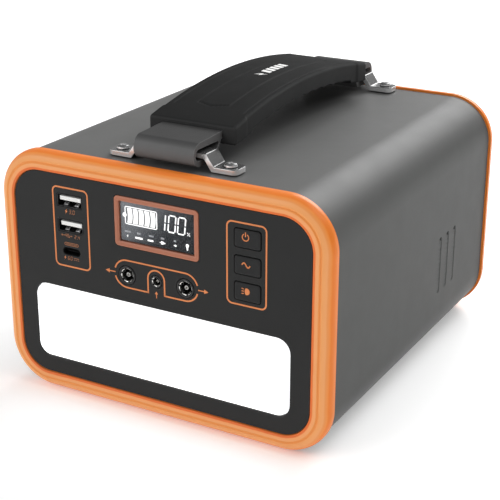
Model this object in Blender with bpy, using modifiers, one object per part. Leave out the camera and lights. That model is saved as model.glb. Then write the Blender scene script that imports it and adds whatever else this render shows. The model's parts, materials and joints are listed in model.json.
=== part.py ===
"""Portable power station with a lamp, sockets, buttons and a carrying handle, at rest.

World frame: origin under the middle of the body, +X to the right, +Y to the rear, +Z up.
Driving dimensions are in millimetres and are scaled to metres where a mesh is made.
"""

import math

import bmesh
import bpy
from mathutils import Matrix, Vector

MM = 0.001
GAP = 0.3  # clearance left between touching pieces

# Body
BODY_HALF_X = 83.0
BODY_HALF_Y = 95.5
BEZEL_Z0 = 0.8
BEZEL_Z1 = 115.6
BEZEL_RADIUS = 22.5
BEZEL_DEPTH = 6.5
BEZEL_ROUND = 5.2
BEZEL_WIDTH = 8.5
SHELL_INSET = 1.0
SHELL_WALL = 2.0
SHELL_HALF_Y = BODY_HALF_Y - BEZEL_DEPTH - GAP

# Flat panels held in the two bezels
PANEL_FACE = 95.0
PANEL_THICK = 2.0
LEDGE_INSET = 11.5

# Lamp window
LAMP_HALF_X = 65.35
LAMP_HALF_Z = 18.15
LAMP_X = -0.45
LAMP_Z = 35.45
LAMP_RADIUS = 6.5

# Display
DISPLAY_X = 0.5
DISPLAY_Z = 91.0
DISPLAY_HALF_X = 21.1
DISPLAY_HALF_Z = 11.4
DISPLAY_BORDER = 2.25
DISPLAY_FACE = 95.3
WINDOW_SINK = 0.4
WINDOW_THICK = 0.6

# Sockets on the front
USB_X = -44.4
USB_A_Z = (95.2, 83.5)
USB_A_HALF = (6.55, 2.85)
USB_C_Z = 71.5
USB_C_HALF = (4.47, 1.58)
JACK_Z = 66.4
OUT_JACK_X = (-15.0, 14.6)
OUT_JACK_RADIUS = 4.3
OUT_BORE = 2.75
OUT_PIN = 1.05
IN_JACK_X = 0.0
IN_JACK_RADIUS = 2.8
IN_BORE = 1.8
IN_PIN = 0.65

# Push buttons
BUTTON_X = 44.8
BUTTON_Z = (94.3, 82.5, 70.9)
BUTTON_HALF = (6.1, 4.0)
BUTTON_FACE = 95.2

# Side vents
VENT_Y = (27.5, 36.7, 45.9)
VENT_Z = (33.1, 61.8)
VENT_WIDTH = 2.8

# Handle
HANDLE_Y = 2.0
GRIP_HALF_X = 21.8
GRIP_HALF_Y = 66.5
GRIP_TOP = 137.9
GRIP_PEAK_Y = 5.0
GRIP_BOW = 0.0016  # fall of the grip's top per square millimetre from its peak
GRIP_BOTTOM = 129.7
GRIP_BOTTOM_END = 122.0
GRIP_SAG = 5.6
GRIP_LUG_Y = 53.5
GRIP_EDGE = 1.6
STRAP_HALF_X = 15.0
STRAP_MID = 133.6
STRAP_END = 126.1
STRAP_THICK = 3.8
LOOP_Y = 84.0
LOOP_Z = 122.0
LOOP_OUTER = 5.4
LOOP_HOLE = 2.4
LOOP_SHIFT = 1.3  # how far the hole lies outward of the loop's middle

# Handle brackets
BRACKET_Y = 79.05
BRACKET_HALF_Y = 4.9
BRACKET_THICK = 2.5
BRACKET_HALF_X = 32.1
BRACKET_CORNER = 2.8
FOOT_TOP = 117.5
BAR_TOP = 122.7
FOOT_BEND_X = 21.3
BAR_BEND_X = 17.6
SCREW_X = 27.0
SCREW_Y = 79.5

# Rear panel
OUTLET_X = 40.0
OUTLET_Z = 34.0
OUTLET_HALF = 16.5
GRILLE_Z = 78.0
FAN_HALF = 25.0
FAN_Y = (79.5, 90.5)
REAR_SCREW_X = 66.0
REAR_SCREW_Z = (18.5, 98.0)

# Battery
CELL_RADIUS = 16.0
CELL_PITCH = 33.5
CELL_Z = (10.9, 80.9)
PACK_Y = 2.0
CELLS_X = 4
CELLS_Y = 3
TRAY_Z = 6.9
INVERTER_Z = 84.0


def clear_scene():
    for obj in list(bpy.data.objects):
        bpy.data.objects.remove(obj, do_unlink=True)


def collection(name, helper=False):
    made = bpy.data.collections.new(name)
    bpy.context.scene.collection.children.link(made)
    made.hide_render = helper
    return made


clear_scene()
PARTS = collection("power_station")
CUTTERS = collection("cutters", helper=True)

MATERIALS = {
    "grey_shell": ((0.16, 0.17, 0.17), 0.45, 0.0),
    "orange_plastic": ((0.80, 0.29, 0.09), 0.40, 0.0),
    "charcoal_plastic": ((0.035, 0.036, 0.036), 0.45, 0.0),
    "diffuser": ((0.95, 0.95, 0.95), 0.35, 0.0),
    "white_plastic": ((0.85, 0.85, 0.84), 0.40, 0.0),
    "terracotta": ((0.50, 0.17, 0.09), 0.40, 0.0),
    "clear_window": ((0.10, 0.12, 0.14), 0.08, 0.0),
    "socket_steel": ((0.60, 0.60, 0.60), 0.30, 1.0),
    "black_plastic": ((0.012, 0.012, 0.012), 0.40, 0.0),
    "nickel": ((0.70, 0.69, 0.66), 0.25, 1.0),
    "circuit_board": ((0.02, 0.16, 0.07), 0.45, 0.0),
    "soft_rubber": ((0.028, 0.028, 0.028), 0.60, 0.0),
    "strap_rubber": ((0.09, 0.09, 0.09), 0.55, 0.0),
    "bright_steel": ((0.62, 0.62, 0.62), 0.22, 1.0),
    "cell_wrap": ((0.03, 0.16, 0.42), 0.40, 0.0),
    "holder_plastic": ((0.05, 0.05, 0.05), 0.50, 0.0),
    "ferrite": ((0.05, 0.05, 0.055), 0.60, 0.0),
    "aluminium": ((0.72, 0.73, 0.74), 0.35, 1.0),
    "red_lead": ((0.60, 0.02, 0.02), 0.45, 0.0),
    "black_lead": ((0.015, 0.015, 0.015), 0.45, 0.0),
}


def material(name):
    found = bpy.data.materials.get(name)
    if found:
        return found
    colour, rough, metal = MATERIALS[name]
    made = bpy.data.materials.new(name)
    made.use_nodes = True
    shader = made.node_tree.nodes["Principled BSDF"]
    shader.inputs["Base Color"].default_value = (*colour, 1.0)
    shader.inputs["Roughness"].default_value = rough
    shader.inputs["Metallic"].default_value = metal
    return made


def add_object(name, data, look=None, at=(0, 0, 0)):
    """Link an object with its origin at a point in millimetres; look=None makes a cutter."""
    obj = bpy.data.objects.new(name, data)
    obj.location = Vector(at) * MM
    if look:
        data.materials.append(material(look))
        PARTS.objects.link(obj)
    else:
        CUTTERS.objects.link(obj)
        obj.display_type = "WIRE"
        obj.hide_render = True
    return obj


def finish(name, bm, look=None, at=(0, 0, 0)):
    """Turn a bmesh drawn in millimetres into an object, round parts smooth."""
    bmesh.ops.transform(bm, matrix=Matrix.Scale(MM, 4) @ Matrix.Translation(-Vector(at)), verts=bm.verts)
    mesh = bpy.data.meshes.new(name)
    bm.to_mesh(mesh)
    bm.free()
    mesh.shade_smooth()
    mesh.set_sharp_from_angle(angle=math.radians(35))
    return add_object(name, mesh, look, at)


def boolean(obj, other, kind="DIFFERENCE"):
    made = obj.modifiers.new(kind.lower(), "BOOLEAN")
    made.operation = kind
    made.solver = "EXACT"
    made.object = other


def cut(obj, name, bm):
    boolean(obj, finish(name, bm))


def join(obj, name, bm):
    boolean(obj, finish(name, bm), "UNION")


# Turns that lay a local +Z along a world axis; -Y is the front
TURNS = {
    "X": Matrix(((0, 0, 1, 0), (1, 0, 0, 0), (0, 1, 0, 0), (0, 0, 0, 1))),
    "Y": Matrix.Rotation(math.radians(90), 4, "X"),
    "Z": Matrix.Identity(4),
}


def place(axis, along, u, v):
    """A point from its distance along the axis and its two other coordinates."""
    if axis == "X":
        return Vector((along, u, v))
    if axis == "Y":
        return Vector((u, along, v))
    return Vector((u, v, along))


def box(bm, x0, x1, y0, y1, z0, z1, matrix=None):
    """Add a box; the matrix, if any, moves it afterwards."""
    low, high = Vector((x0, y0, z0)), Vector((x1, y1, z1))
    shape = Matrix.Translation((low + high) / 2) @ Matrix.Diagonal((*(high - low), 1))
    if matrix is not None:
        shape = matrix @ shape
    return bmesh.ops.create_cube(bm, size=1.0, matrix=shape)["verts"]


def rod(bm, radius, u, v, start, end, axis="Y", segments=20):
    """Add a round bar along an axis."""
    shape = Matrix.Translation(place(axis, (start + end) / 2, u, v)) @ TURNS[axis]
    bmesh.ops.create_cone(
        bm,
        cap_ends=True,
        segments=segments,
        radius1=radius,
        radius2=radius,
        depth=abs(end - start),
        matrix=shape,
    )


def bevel(bm, edges, width, steps):
    bmesh.ops.bevel(
        bm,
        geom=edges,
        offset=width,
        offset_type="OFFSET",
        segments=steps,
        profile=0.5,
        affect="EDGES",
        clamp_overlap=True,
    )


def slab(bm, half_u, half_v, radius, u, v, start, end, axis="Y", steps=4, rim=0.0, rim_steps=1):
    """Add a plate with round corners; rim also rounds the edge of its outer face."""
    low = place(axis, min(start, end), u - half_u, v - half_v)
    high = place(axis, max(start, end), u + half_u, v + half_v)
    piece = bmesh.new()
    box(piece, low.x, high.x, low.y, high.y, low.z, high.z)
    index = "XYZ".index(axis)
    corners = []
    for edge in piece.edges:
        first, last = edge.verts
        if abs(first.co[index] - last.co[index]) > 0.5 * abs(end - start):
            corners.append(edge)
    bevel(piece, corners, radius, steps)
    if rim:
        edges = []
        for edge in piece.edges:
            if all(abs(vert.co[index] - end) < 1e-4 for vert in edge.verts):
                edges.append(edge)
        bevel(piece, edges, rim, rim_steps)
    mesh = bpy.data.meshes.new("slab")
    piece.to_mesh(mesh)
    piece.free()
    bm.from_mesh(mesh)
    bpy.data.meshes.remove(mesh)


def sleeve(name, half_u, half_v, radius, centre, start, end, wall, look, steps):
    """A rounded tube along Y: an open surface with a Solidify wall on its inside."""
    bm = bmesh.new()
    slab(bm, half_u, half_v, radius, *centre, start, end, "Y", steps)
    caps = [face for face in bm.faces if abs(face.normal.y) > 0.9]
    bmesh.ops.delete(bm, geom=caps, context="FACES_ONLY")
    obj = finish(name, bm, look)
    made = obj.modifiers.new("wall", "SOLIDIFY")
    made.thickness = wall * MM
    made.offset = -1.0
    made.use_even_offset = True
    return obj


def turned(name, profile, look, centre, axis="Z", steps=16, flip=False):
    """A turned body: (radius, height) points from the top down the outer side."""
    bm = bmesh.new()
    verts = [bm.verts.new((radius * MM, 0, height * MM)) for radius, height in profile]
    for first, last in zip(verts, verts[1:]):
        bm.edges.new((first, last))
    if min(radius for radius, height in profile) > 0:
        bm.edges.new((verts[-1], verts[0]))
    mesh = bpy.data.meshes.new(name)
    bm.to_mesh(mesh)
    bm.free()
    obj = add_object(name, mesh, look, centre)
    turn = Matrix.Rotation(math.pi, 4, "X") if flip else Matrix.Identity(4)
    obj.rotation_euler = (TURNS[axis] @ turn).to_euler()
    screw = obj.modifiers.new("turn", "SCREW")
    screw.axis = "Z"
    screw.steps = steps
    screw.render_steps = steps
    screw.use_merge_vertices = True
    screw.merge_threshold = 0.00001
    return obj


def flat(name, outline, axis, start, end, look=None, at=(0, 0, 0)):
    """A flat outline with thickness: a filled 2D curve, made a mesh so that it can be cut."""
    curve = bpy.data.curves.new(name, "CURVE")
    curve.dimensions = "2D"
    curve.fill_mode = "BOTH"
    curve.extrude = abs(end - start) / 2
    spline = curve.splines.new("POLY")
    spline.points.add(len(outline) - 1)
    for point, (u, v) in zip(spline.points, outline):
        point.co = (u, v, 0, 1)
    spline.use_cyclic_u = True
    drawn = bpy.data.objects.new(name + "_curve", curve)
    CUTTERS.objects.link(drawn)
    drawn.matrix_world = Matrix.Translation(place(axis, (start + end) / 2, 0, 0)) @ TURNS[axis]
    bpy.context.view_layer.update()
    evaluated = drawn.evaluated_get(bpy.context.evaluated_depsgraph_get())
    mesh = bpy.data.meshes.new_from_object(evaluated)
    bm = bmesh.new()
    bm.from_mesh(mesh)
    bmesh.ops.remove_doubles(bm, verts=bm.verts, dist=0.001)
    bmesh.ops.dissolve_limit(bm, angle_limit=0.001, verts=bm.verts, edges=bm.edges)
    bmesh.ops.transform(bm, matrix=drawn.matrix_world, verts=bm.verts)
    bmesh.ops.recalc_face_normals(bm, faces=bm.faces)
    bpy.data.objects.remove(drawn, do_unlink=True)
    bpy.data.curves.remove(curve)
    bpy.data.meshes.remove(mesh)
    return finish(name, bm, look, at)


# ---------------------------------------------------------------- body shell and bezels

BODY_Z = (BEZEL_Z0 + BEZEL_Z1) / 2
BODY_HALF_Z = (BEZEL_Z1 - BEZEL_Z0) / 2


def body_slab(bm, inset, start, end, steps=8, rim=0.0, rim_steps=1):
    """Add a plate with the body's outline, drawn in by the inset."""
    half_x, half_z = BODY_HALF_X - inset, BODY_HALF_Z - inset
    radius = BEZEL_RADIUS - inset
    slab(bm, half_x, half_z, radius, 0, BODY_Z, start, end, "Y", steps, rim, rim_steps)


def make_shell():
    shell = sleeve(
        "shell",
        BODY_HALF_X - SHELL_INSET,
        BODY_HALF_Z - SHELL_INSET,
        BEZEL_RADIUS - SHELL_INSET,
        (0, BODY_Z),
        -SHELL_HALF_Y,
        SHELL_HALF_Y,
        SHELL_WALL,
        "grey_shell",
        10,
    )
    cuts = bmesh.new()
    middle = sum(VENT_Z) / 2
    half = (VENT_Z[1] - VENT_Z[0]) / 2
    for side in (-1, 1):
        ends = sorted((side * 76.0, side * 86.0))
        for y in VENT_Y:
            slab(cuts, VENT_WIDTH / 2, half, 1.2, y, middle, ends[0], ends[1], "X", 2)
        for x in (-SCREW_X, SCREW_X):
            rod(cuts, 1.65, x, HANDLE_Y + side * SCREW_Y, 110.0, 118.0, "Z", 12)
    cut(shell, "shell_cuts", cuts)


def make_bezels():
    """Round outside, a recess and ledge for the panel, and a spigot that fits in the shell."""
    for name, side in (("front_bezel", -1), ("rear_bezel", 1)):
        face = side * BODY_HALF_Y
        start = side * (BODY_HALF_Y - BEZEL_DEPTH)
        ledge = side * (PANEL_FACE - PANEL_THICK - GAP)
        bm = bmesh.new()
        body_slab(bm, 0.0, start, face, 8, BEZEL_ROUND, 5)
        bezel = finish(name, bm, "orange_plastic")
        bm = bmesh.new()
        body_slab(bm, SHELL_INSET + SHELL_WALL + GAP, side * 84.0, side * 91.0)
        join(bezel, name + "_spigot", bm)
        bm = bmesh.new()
        body_slab(bm, LEDGE_INSET, side * 80.0, side * 99.0)
        cut(bezel, name + "_opening", bm)
        bm = bmesh.new()
        body_slab(bm, BEZEL_WIDTH, ledge, side * 99.0)
        cut(bezel, name + "_recess", bm)
        bm = bmesh.new()
        body_slab(bm, 5.0, side * 80.0, side * 90.4)
        cut(bezel, name + "_hollow", bm)


def make_feet():
    profile = [(0, 1.5), (8.0, 1.5), (8.0, 0.6), (7.4, 0.0), (0, 0.0)]
    for name, x, y in (
        ("foot_front_left", -50, -72),
        ("foot_front_right", 50, -72),
        ("foot_rear_left", -50, 72),
        ("foot_rear_right", 50, 72),
    ):
        turned(name, profile, "soft_rubber", (x, y, 0))


# ---------------------------------------------------------------- front panel


def make_front_panel():
    bm = bmesh.new()
    body_slab(bm, BEZEL_WIDTH + GAP, -PANEL_FACE + PANEL_THICK, -PANEL_FACE)
    panel = finish("front_panel", bm, "charcoal_plastic")
    y0, y1 = -99.0, -90.0
    cuts = bmesh.new()
    slab(cuts, LAMP_HALF_X, LAMP_HALF_Z, LAMP_RADIUS, LAMP_X, LAMP_Z, y0, y1, "Y", 6)
    half_x, half_z = DISPLAY_HALF_X + GAP, DISPLAY_HALF_Z + GAP
    slab(cuts, half_x, half_z, 2.1, DISPLAY_X, DISPLAY_Z, y0, y1, "Y", 3)
    half_x, half_z = USB_A_HALF[0] + GAP, USB_A_HALF[1] + GAP
    for z in USB_A_Z:
        slab(cuts, half_x, half_z, 0.8, USB_X, z, y0, y1, "Y", 2)
    half_x, half_z = USB_C_HALF[0] + GAP, USB_C_HALF[1] + GAP
    slab(cuts, half_x, half_z, 1.87, USB_X, USB_C_Z, y0, y1)
    for x in OUT_JACK_X:
        rod(cuts, OUT_JACK_RADIUS + GAP, x, JACK_Z, y0, y1)
    rod(cuts, IN_JACK_RADIUS + GAP, IN_JACK_X, JACK_Z, y0, y1)
    half_x, half_z = BUTTON_HALF[0] + 0.35, BUTTON_HALF[1] + 0.35
    for z in BUTTON_Z:
        slab(cuts, half_x, half_z, 1.3, BUTTON_X, z, y0, y1, "Y", 2)
    cut(panel, "front_panel_cuts", cuts)


def make_lamp():
    small = (LAMP_HALF_X - GAP, LAMP_HALF_Z - GAP, LAMP_RADIUS - GAP, LAMP_X, LAMP_Z)
    wide = (LAMP_HALF_X + 2.2, LAMP_HALF_Z + 1.9, LAMP_RADIUS + 1.0, LAMP_X, LAMP_Z)
    step = -PANEL_FACE + PANEL_THICK + GAP
    bm = bmesh.new()
    slab(bm, *small, step + 1.0, -PANEL_FACE, "Y", 6)
    diffuser = finish("lamp_diffuser", bm, "diffuser")
    bm = bmesh.new()
    slab(bm, *wide, step, step + 1.8, "Y", 6)
    join(diffuser, "diffuser_flange", bm)

    front = step + 1.8 + GAP
    bm = bmesh.new()
    slab(bm, *wide, front, -76.0)
    reflector = finish("lamp_reflector", bm, "white_plastic")
    bm = bmesh.new()
    slab(bm, LAMP_HALF_X + 0.7, LAMP_HALF_Z + 0.4, LAMP_RADIUS, LAMP_X, LAMP_Z, front - 2, -77.5)
    cut(reflector, "reflector_hollow", bm)

    bm = bmesh.new()
    slab(bm, 64.0, 16.0, 3.0, LAMP_X, LAMP_Z, -79.4, -77.8, "Y", 2)
    board = finish("led_board", bm, "circuit_board")
    chips = bmesh.new()
    for row in (-1, 1):
        for column in range(10):
            x = LAMP_X - 58.5 + 13.0 * column
            z = LAMP_Z + row * 7.5
            box(chips, x - 1.8, x + 1.8, -80.4, -79.0, z - 1.4, z + 1.4)
    join(board, "led_chips", chips)


def make_display():
    """A raised bezel around a thin window, with the display's module close behind it."""
    face = -DISPLAY_FACE
    middle = (DISPLAY_X, DISPLAY_Z)
    bm = bmesh.new()
    slab(bm, DISPLAY_HALF_X, DISPLAY_HALF_Z, 1.9, *middle, face + 2.1, face, "Y", 3, 0.3)
    bezel = finish("display_bezel", bm, "terracotta")
    half_x, half_z = DISPLAY_HALF_X - DISPLAY_BORDER, DISPLAY_HALF_Z - DISPLAY_BORDER
    bm = bmesh.new()
    slab(bm, half_x, half_z, 0.7, *middle, face - 2, face + 4, "Y", 2)
    cut(bezel, "display_opening", bm)
    inner = (half_x - GAP, half_z - GAP, 0.5)
    front = face + WINDOW_SINK
    bm = bmesh.new()
    slab(bm, *inner, *middle, front + WINDOW_THICK, front, "Y", 2)
    finish("display_window", bm, "clear_window")
    bm = bmesh.new()
    slab(bm, *inner, *middle, front + WINDOW_THICK + GAP, -89.4, "Y", 2)
    finish("lcd_module", bm, "charcoal_plastic")


def make_usb():
    half_x, half_z = USB_A_HALF
    for name, z in zip(("usb_a_upper", "usb_a_lower"), USB_A_Z):
        sleeve(
            name + "_shell",
            half_x,
            half_z,
            0.7,
            (USB_X, z),
            -94.8,
            -81.0,
            0.35,
            "socket_steel",
            2,
        )
        bm = bmesh.new()
        box(bm, USB_X - 5.5, USB_X + 5.5, -94.0, -84.0, z + 0.05, z + 1.95)
        tongue = finish(name + "_tongue", bm, "white_plastic")
        bm = bmesh.new()
        slab(bm, 5.85, 2.15, 0.3, USB_X, z, -84.5, -81.2, "Y", 1)
        join(tongue, name + "_block", bm)

    half_x, half_z = USB_C_HALF
    middle = (USB_X, USB_C_Z)
    sleeve("usb_c_shell", half_x, half_z, 1.57, middle, -94.8, -87.5, 0.3, "socket_steel", 4)
    bm = bmesh.new()
    box(bm, USB_X - 3.3, USB_X + 3.3, -94.2, -88.5, USB_C_Z - 0.35, USB_C_Z + 0.35)
    tongue = finish("usb_c_tongue", bm, "black_plastic")
    bm = bmesh.new()
    slab(bm, 3.8, 0.95, 0.5, *middle, -89.0, -81.2, "Y", 2)
    join(tongue, "usb_c_block", bm)


def make_jack(name, x, outer, bore, pin):
    """A round jack along Y; heights count forward from its rear end."""
    rear = -81.0
    length = 14.2
    profile = [
        (bore + 0.4, length - 0.1),
        (outer - 0.3, length),
        (outer, length - 0.3),
        (outer, 0.0),
        (pin + GAP, 0.0),
        (pin + GAP, 4.0),
        (bore, 4.0),
        (bore, length - 0.6),
    ]
    turned(name + "_jack", profile, "black_plastic", (x, rear, JACK_Z), "Y")
    tip = length - 1.2
    profile = [(0, tip), (pin * 0.6, tip), (pin, tip - 0.4), (pin, 0.0), (0, 0.0)]
    turned(name + "_pin", profile, "nickel", (x, rear, JACK_Z), "Y", 12)


def make_io_board():
    bm = bmesh.new()
    box(bm, -56, 25, -80.7, -79.1, 60, 105)
    board = finish("io_board", bm, "circuit_board")
    chips = bmesh.new()
    for x, z, half_x, half_z, high in (
        (-30, 98, 4, 4, 2.0),
        (-28, 72, 3.5, 5, 3.0),
        (-20, 88, 5, 3, 2.0),
        (5, 82, 5, 5, 1.6),
    ):
        box(chips, x - half_x, x + half_x, -79.5, -79.1 + high, z - half_z, z + half_z)
    join(board, "io_chips", chips)


def make_buttons():
    """A cap with a soft rim, a lip behind the panel and a stem that meets its switch."""
    for name, z in zip(("power_button", "ac_button", "lamp_button"), BUTTON_Z):
        half_x, half_z = BUTTON_HALF
        crown = -BUTTON_FACE - 0.25
        bm = bmesh.new()
        slab(bm, half_x, half_z, 1.0, BUTTON_X, z, -92.2, crown, "Y", 3, 0.35, 2)
        cap = finish(name, bm, "charcoal_plastic", (BUTTON_X, -BUTTON_FACE, z))
        bm = bmesh.new()
        slab(bm, half_x + 1.0, half_z + 1.0, 1.4, BUTTON_X, z, -92.7, -91.5, "Y", 3)
        join(cap, name + "_lip", bm)
        bm = bmesh.new()
        rod(bm, 1.5, BUTTON_X, z, -92.0, -84.4, "Y", 12)
        join(cap, name + "_stem", bm)

    bm = bmesh.new()
    box(bm, 35, 55, -80.6, -79.0, 62, 104)
    board = finish("button_board", bm, "circuit_board")
    cases, wells = bmesh.new(), bmesh.new()
    for z in BUTTON_Z:
        slab(cases, 3.1, 3.1, 0.5, BUTTON_X, z, -85.0, -80.0, "Y", 1)
        rod(wells, 1.8, BUTTON_X, z, -86.0, -82.8, "Y", 12)
    join(board, "switch_cases", cases)
    cut(board, "switch_wells", wells)


# ---------------------------------------------------------------- handle


def arch(y, middle, end):
    """Height of a shallow arch over the handle at y."""
    share = (y - HANDLE_Y) / GRIP_HALF_Y
    return middle - (middle - end) * share * share


def grip_outline():
    """Side view of the grip as (y, z): a bowed top, and a lug at each end underneath."""
    y0 = HANDLE_Y - GRIP_HALF_Y
    y1 = HANDLE_Y + GRIP_HALF_Y
    count = 16
    outline = []
    for step in range(count + 1):
        y = y0 + (y1 - y0) * step / count
        outline.append((y, GRIP_TOP - GRIP_BOW * (y - GRIP_PEAK_Y) ** 2))
    outline.append((y1, GRIP_BOTTOM_END))
    outline.append((HANDLE_Y + GRIP_LUG_Y + 1.0, GRIP_BOTTOM_END + 0.8))
    for step in range(count - 3):
        offset = (1 - 2 * step / (count - 4)) * (1 - 1.5 / GRIP_LUG_Y)
        y = HANDLE_Y + offset * GRIP_LUG_Y
        outline.append((y, GRIP_BOTTOM - GRIP_SAG * offset * offset))
    outline.append((HANDLE_Y - GRIP_LUG_Y - 1.0, GRIP_BOTTOM_END + 0.8))
    outline.append((y0, GRIP_BOTTOM_END))
    return outline


def make_grip():
    origin = (0, HANDLE_Y, GRIP_BOTTOM)
    grip = flat(
        "handle_grip", grip_outline(), "X", -GRIP_HALF_X, GRIP_HALF_X, "soft_rubber", origin
    )
    edge = grip.modifiers.new("edge", "BEVEL")
    edge.width = GRIP_EDGE * MM
    edge.segments = 2
    edge.limit_method = "ANGLE"
    edge.angle_limit = math.radians(50)
    half = STRAP_THICK / 2 + GAP
    above, below = [], []
    for step in range(17):
        y = HANDLE_Y + (GRIP_HALF_Y + 4) * (step / 8 - 1)
        z = arch(y, STRAP_MID, STRAP_END)
        above.append((y, z + half))
        below.append((y, z - half))
    outline = above + below[::-1]
    slot = flat("grip_slot", outline, "X", -STRAP_HALF_X - GAP, STRAP_HALF_X + GAP)
    boolean(grip, slot)


def mirrored(outline):
    """The same (y, z) points on the other side of the handle's middle."""
    return [(2 * HANDLE_Y - y, z) for y, z in outline]


def loop_arc(radius, shift, steps):
    """Half a turn around the front loop, from its lowest point forward and up."""
    points = []
    for step in range(steps + 1):
        angle = math.radians(-90 - 180 * step / steps)
        y = HANDLE_Y - LOOP_Y - shift + radius * math.cos(angle)
        points.append((y, LOOP_Z + radius * math.sin(angle)))
    return points


def make_strap():
    half = STRAP_THICK / 2
    reach = GRIP_HALF_Y + 0.6
    top, bottom = [], []
    for step in range(15):
        y = HANDLE_Y + reach * (step / 7 - 1)
        z = arch(y, STRAP_MID, STRAP_END)
        top.append((y, z + half))
        bottom.append((y, z - half))
    front = [(HANDLE_Y - 71.4, LOOP_Z - LOOP_OUTER)]
    front += loop_arc(LOOP_OUTER, 0.0, 8)
    front.append((HANDLE_Y - 73.0, 127.7))
    outline = front + top + mirrored(front)[::-1] + bottom[::-1]
    origin = (0, HANDLE_Y, GRIP_BOTTOM)
    strap = flat(
        "handle_strap", outline, "X", -STRAP_HALF_X, STRAP_HALF_X, "strap_rubber", origin
    )
    hole = [(HANDLE_Y - 68.6, 123.2), (HANDLE_Y - 72.6, LOOP_Z - LOOP_HOLE)]
    hole += loop_arc(LOOP_HOLE, LOOP_SHIFT, 6)
    hole.append((HANDLE_Y - 69.6, 124.2))
    for name, outline in (("front", hole), ("rear", mirrored(hole))):
        boolean(strap, flat("strap_hole_" + name, outline, "X", -20.0, 20.0))


def bracket_outline():
    """Front view of the bent bar as (x, z)."""
    run = FOOT_BEND_X - BAR_BEND_X
    rise = BAR_TOP - FOOT_TOP
    length = math.hypot(run, rise)
    off_x = BRACKET_THICK * rise / length
    off_z = BRACKET_THICK * run / length
    low_x, low_z = FOOT_BEND_X - off_x, FOOT_TOP - off_z
    foot_under = low_x + (low_z - (FOOT_TOP - BRACKET_THICK)) * run / rise
    bar_under = low_x - (BAR_TOP - BRACKET_THICK - low_z) * run / rise
    right = [
        (bar_under, BAR_TOP - BRACKET_THICK),
        (foot_under, FOOT_TOP - BRACKET_THICK),
        (BRACKET_HALF_X, FOOT_TOP - BRACKET_THICK),
        (BRACKET_HALF_X, FOOT_TOP),
        (FOOT_BEND_X, FOOT_TOP),
        (BAR_BEND_X, BAR_TOP),
    ]
    return right + [(-x, z) for x, z in right[::-1]]


def cross_recess(obj, name, x, y, head_z):
    """Cut a cross into a screw's head."""
    for arm, half_x, half_y, low in (("slot", 1.5, 0.35, 0.5), ("cross", 0.35, 1.5, 0.45)):
        bm = bmesh.new()
        box(bm, x - half_x, x + half_x, y - half_y, y + half_y, head_z + low, head_z + 3 + low)
        cut(obj, name + "_" + arm, bm)


def make_bracket_screw(name, x, y):
    """A pan-head screw; heights count from the underside of its head."""
    head, shank, tip = 2.8, 1.35, -10.3
    profile = [
        (0, 1.4),
        (head * 0.66, 1.4),
        (head, 0.7),
        (head, 0.0),
        (shank, 0.0),
        (shank, tip + 0.8),
        (shank * 0.6, tip),
        (0, tip),
    ]
    head_z = FOOT_TOP + GAP
    made = turned(name, profile, "bright_steel", (x, y, head_z), "Z", 12)
    cross_recess(made, name, x, y, head_z)


def make_brackets():
    for name, side in (("front", -1), ("rear", 1)):
        y = HANDLE_Y + side * BRACKET_Y
        y0, y1 = y - BRACKET_HALF_Y, y + BRACKET_HALF_Y
        screw_y = HANDLE_Y + side * SCREW_Y
        bar = flat("handle_bracket_" + name, bracket_outline(), "Y", y0, y1, "bright_steel")
        corners = bmesh.new()
        corners.from_mesh(bar.data)
        tips = []
        for edge in corners.edges:
            first, last = (vert.co / MM for vert in edge.verts)
            if min(abs(first.x), abs(last.x)) > BRACKET_HALF_X - 0.01 and abs(first.y - last.y) < 0.01:
                tips.append(edge)
        bevel(corners, tips, BRACKET_CORNER * MM, 3)
        corners.to_mesh(bar.data)
        corners.free()
        holes = bmesh.new()
        for x in (-SCREW_X, SCREW_X):
            rod(holes, 1.65, x, screw_y, 113.0, 120.0, "Z", 12)
        cut(bar, "bracket_holes_" + name, holes)
        for side_name, x in (("left", -SCREW_X), ("right", SCREW_X)):
            make_bracket_screw("bracket_screw_" + name + "_" + side_name, x, screw_y)

        bm = bmesh.new()
        box(bm, -31, 31, screw_y - 3.8, screw_y + 2.2, 109.9, 112.3)
        plate = finish("backing_plate_" + name, bm, "nickel")
        holes = bmesh.new()
        for x in (-SCREW_X, SCREW_X):
            rod(holes, 1.65, x, screw_y, 108.0, 114.0, "Z", 12)
        cut(plate, "backing_holes_" + name, holes)


# ---------------------------------------------------------------- rear panel


def make_rear_panel():
    bm = bmesh.new()
    body_slab(bm, BEZEL_WIDTH + GAP, PANEL_FACE - PANEL_THICK, PANEL_FACE)
    panel = finish("rear_panel", bm, "charcoal_plastic")
    y0, y1 = 90.0, 99.0
    cuts = bmesh.new()
    for x in (-OUTLET_X, OUTLET_X):
        slab(cuts, OUTLET_HALF, OUTLET_HALF, 3.0, x, OUTLET_Z, y0, y1, "Y", 3)
    for row in range(-4, 5):
        half = math.sqrt(23.0**2 - (row * 5.0) ** 2)
        slab(cuts, half, 1.3, 1.0, 0, GRILLE_Z + row * 5.0, y0, y1, "Y", 1)
    for x in (-REAR_SCREW_X, REAR_SCREW_X):
        for z in REAR_SCREW_Z:
            rod(cuts, 1.6, x, z, y0, y1, "Y", 12)
    cut(panel, "rear_panel_cuts", cuts)


def make_rear_screws():
    """Flat screws; heights count rearward from the tip."""
    profile = [(0, 11.45), (2.3, 11.45), (2.6, 11.3), (1.3, 11.3), (1.3, 0.8), (0.8, 0), (0, 0)]
    for column, x in (("left", -REAR_SCREW_X), ("right", REAR_SCREW_X)):
        for row, z in zip(("low", "high"), REAR_SCREW_Z):
            name = "rear_screw_" + row + "_" + column
            turned(name, profile, "bright_steel", (x, 84.0, z), "Y", 12, flip=True)


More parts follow.
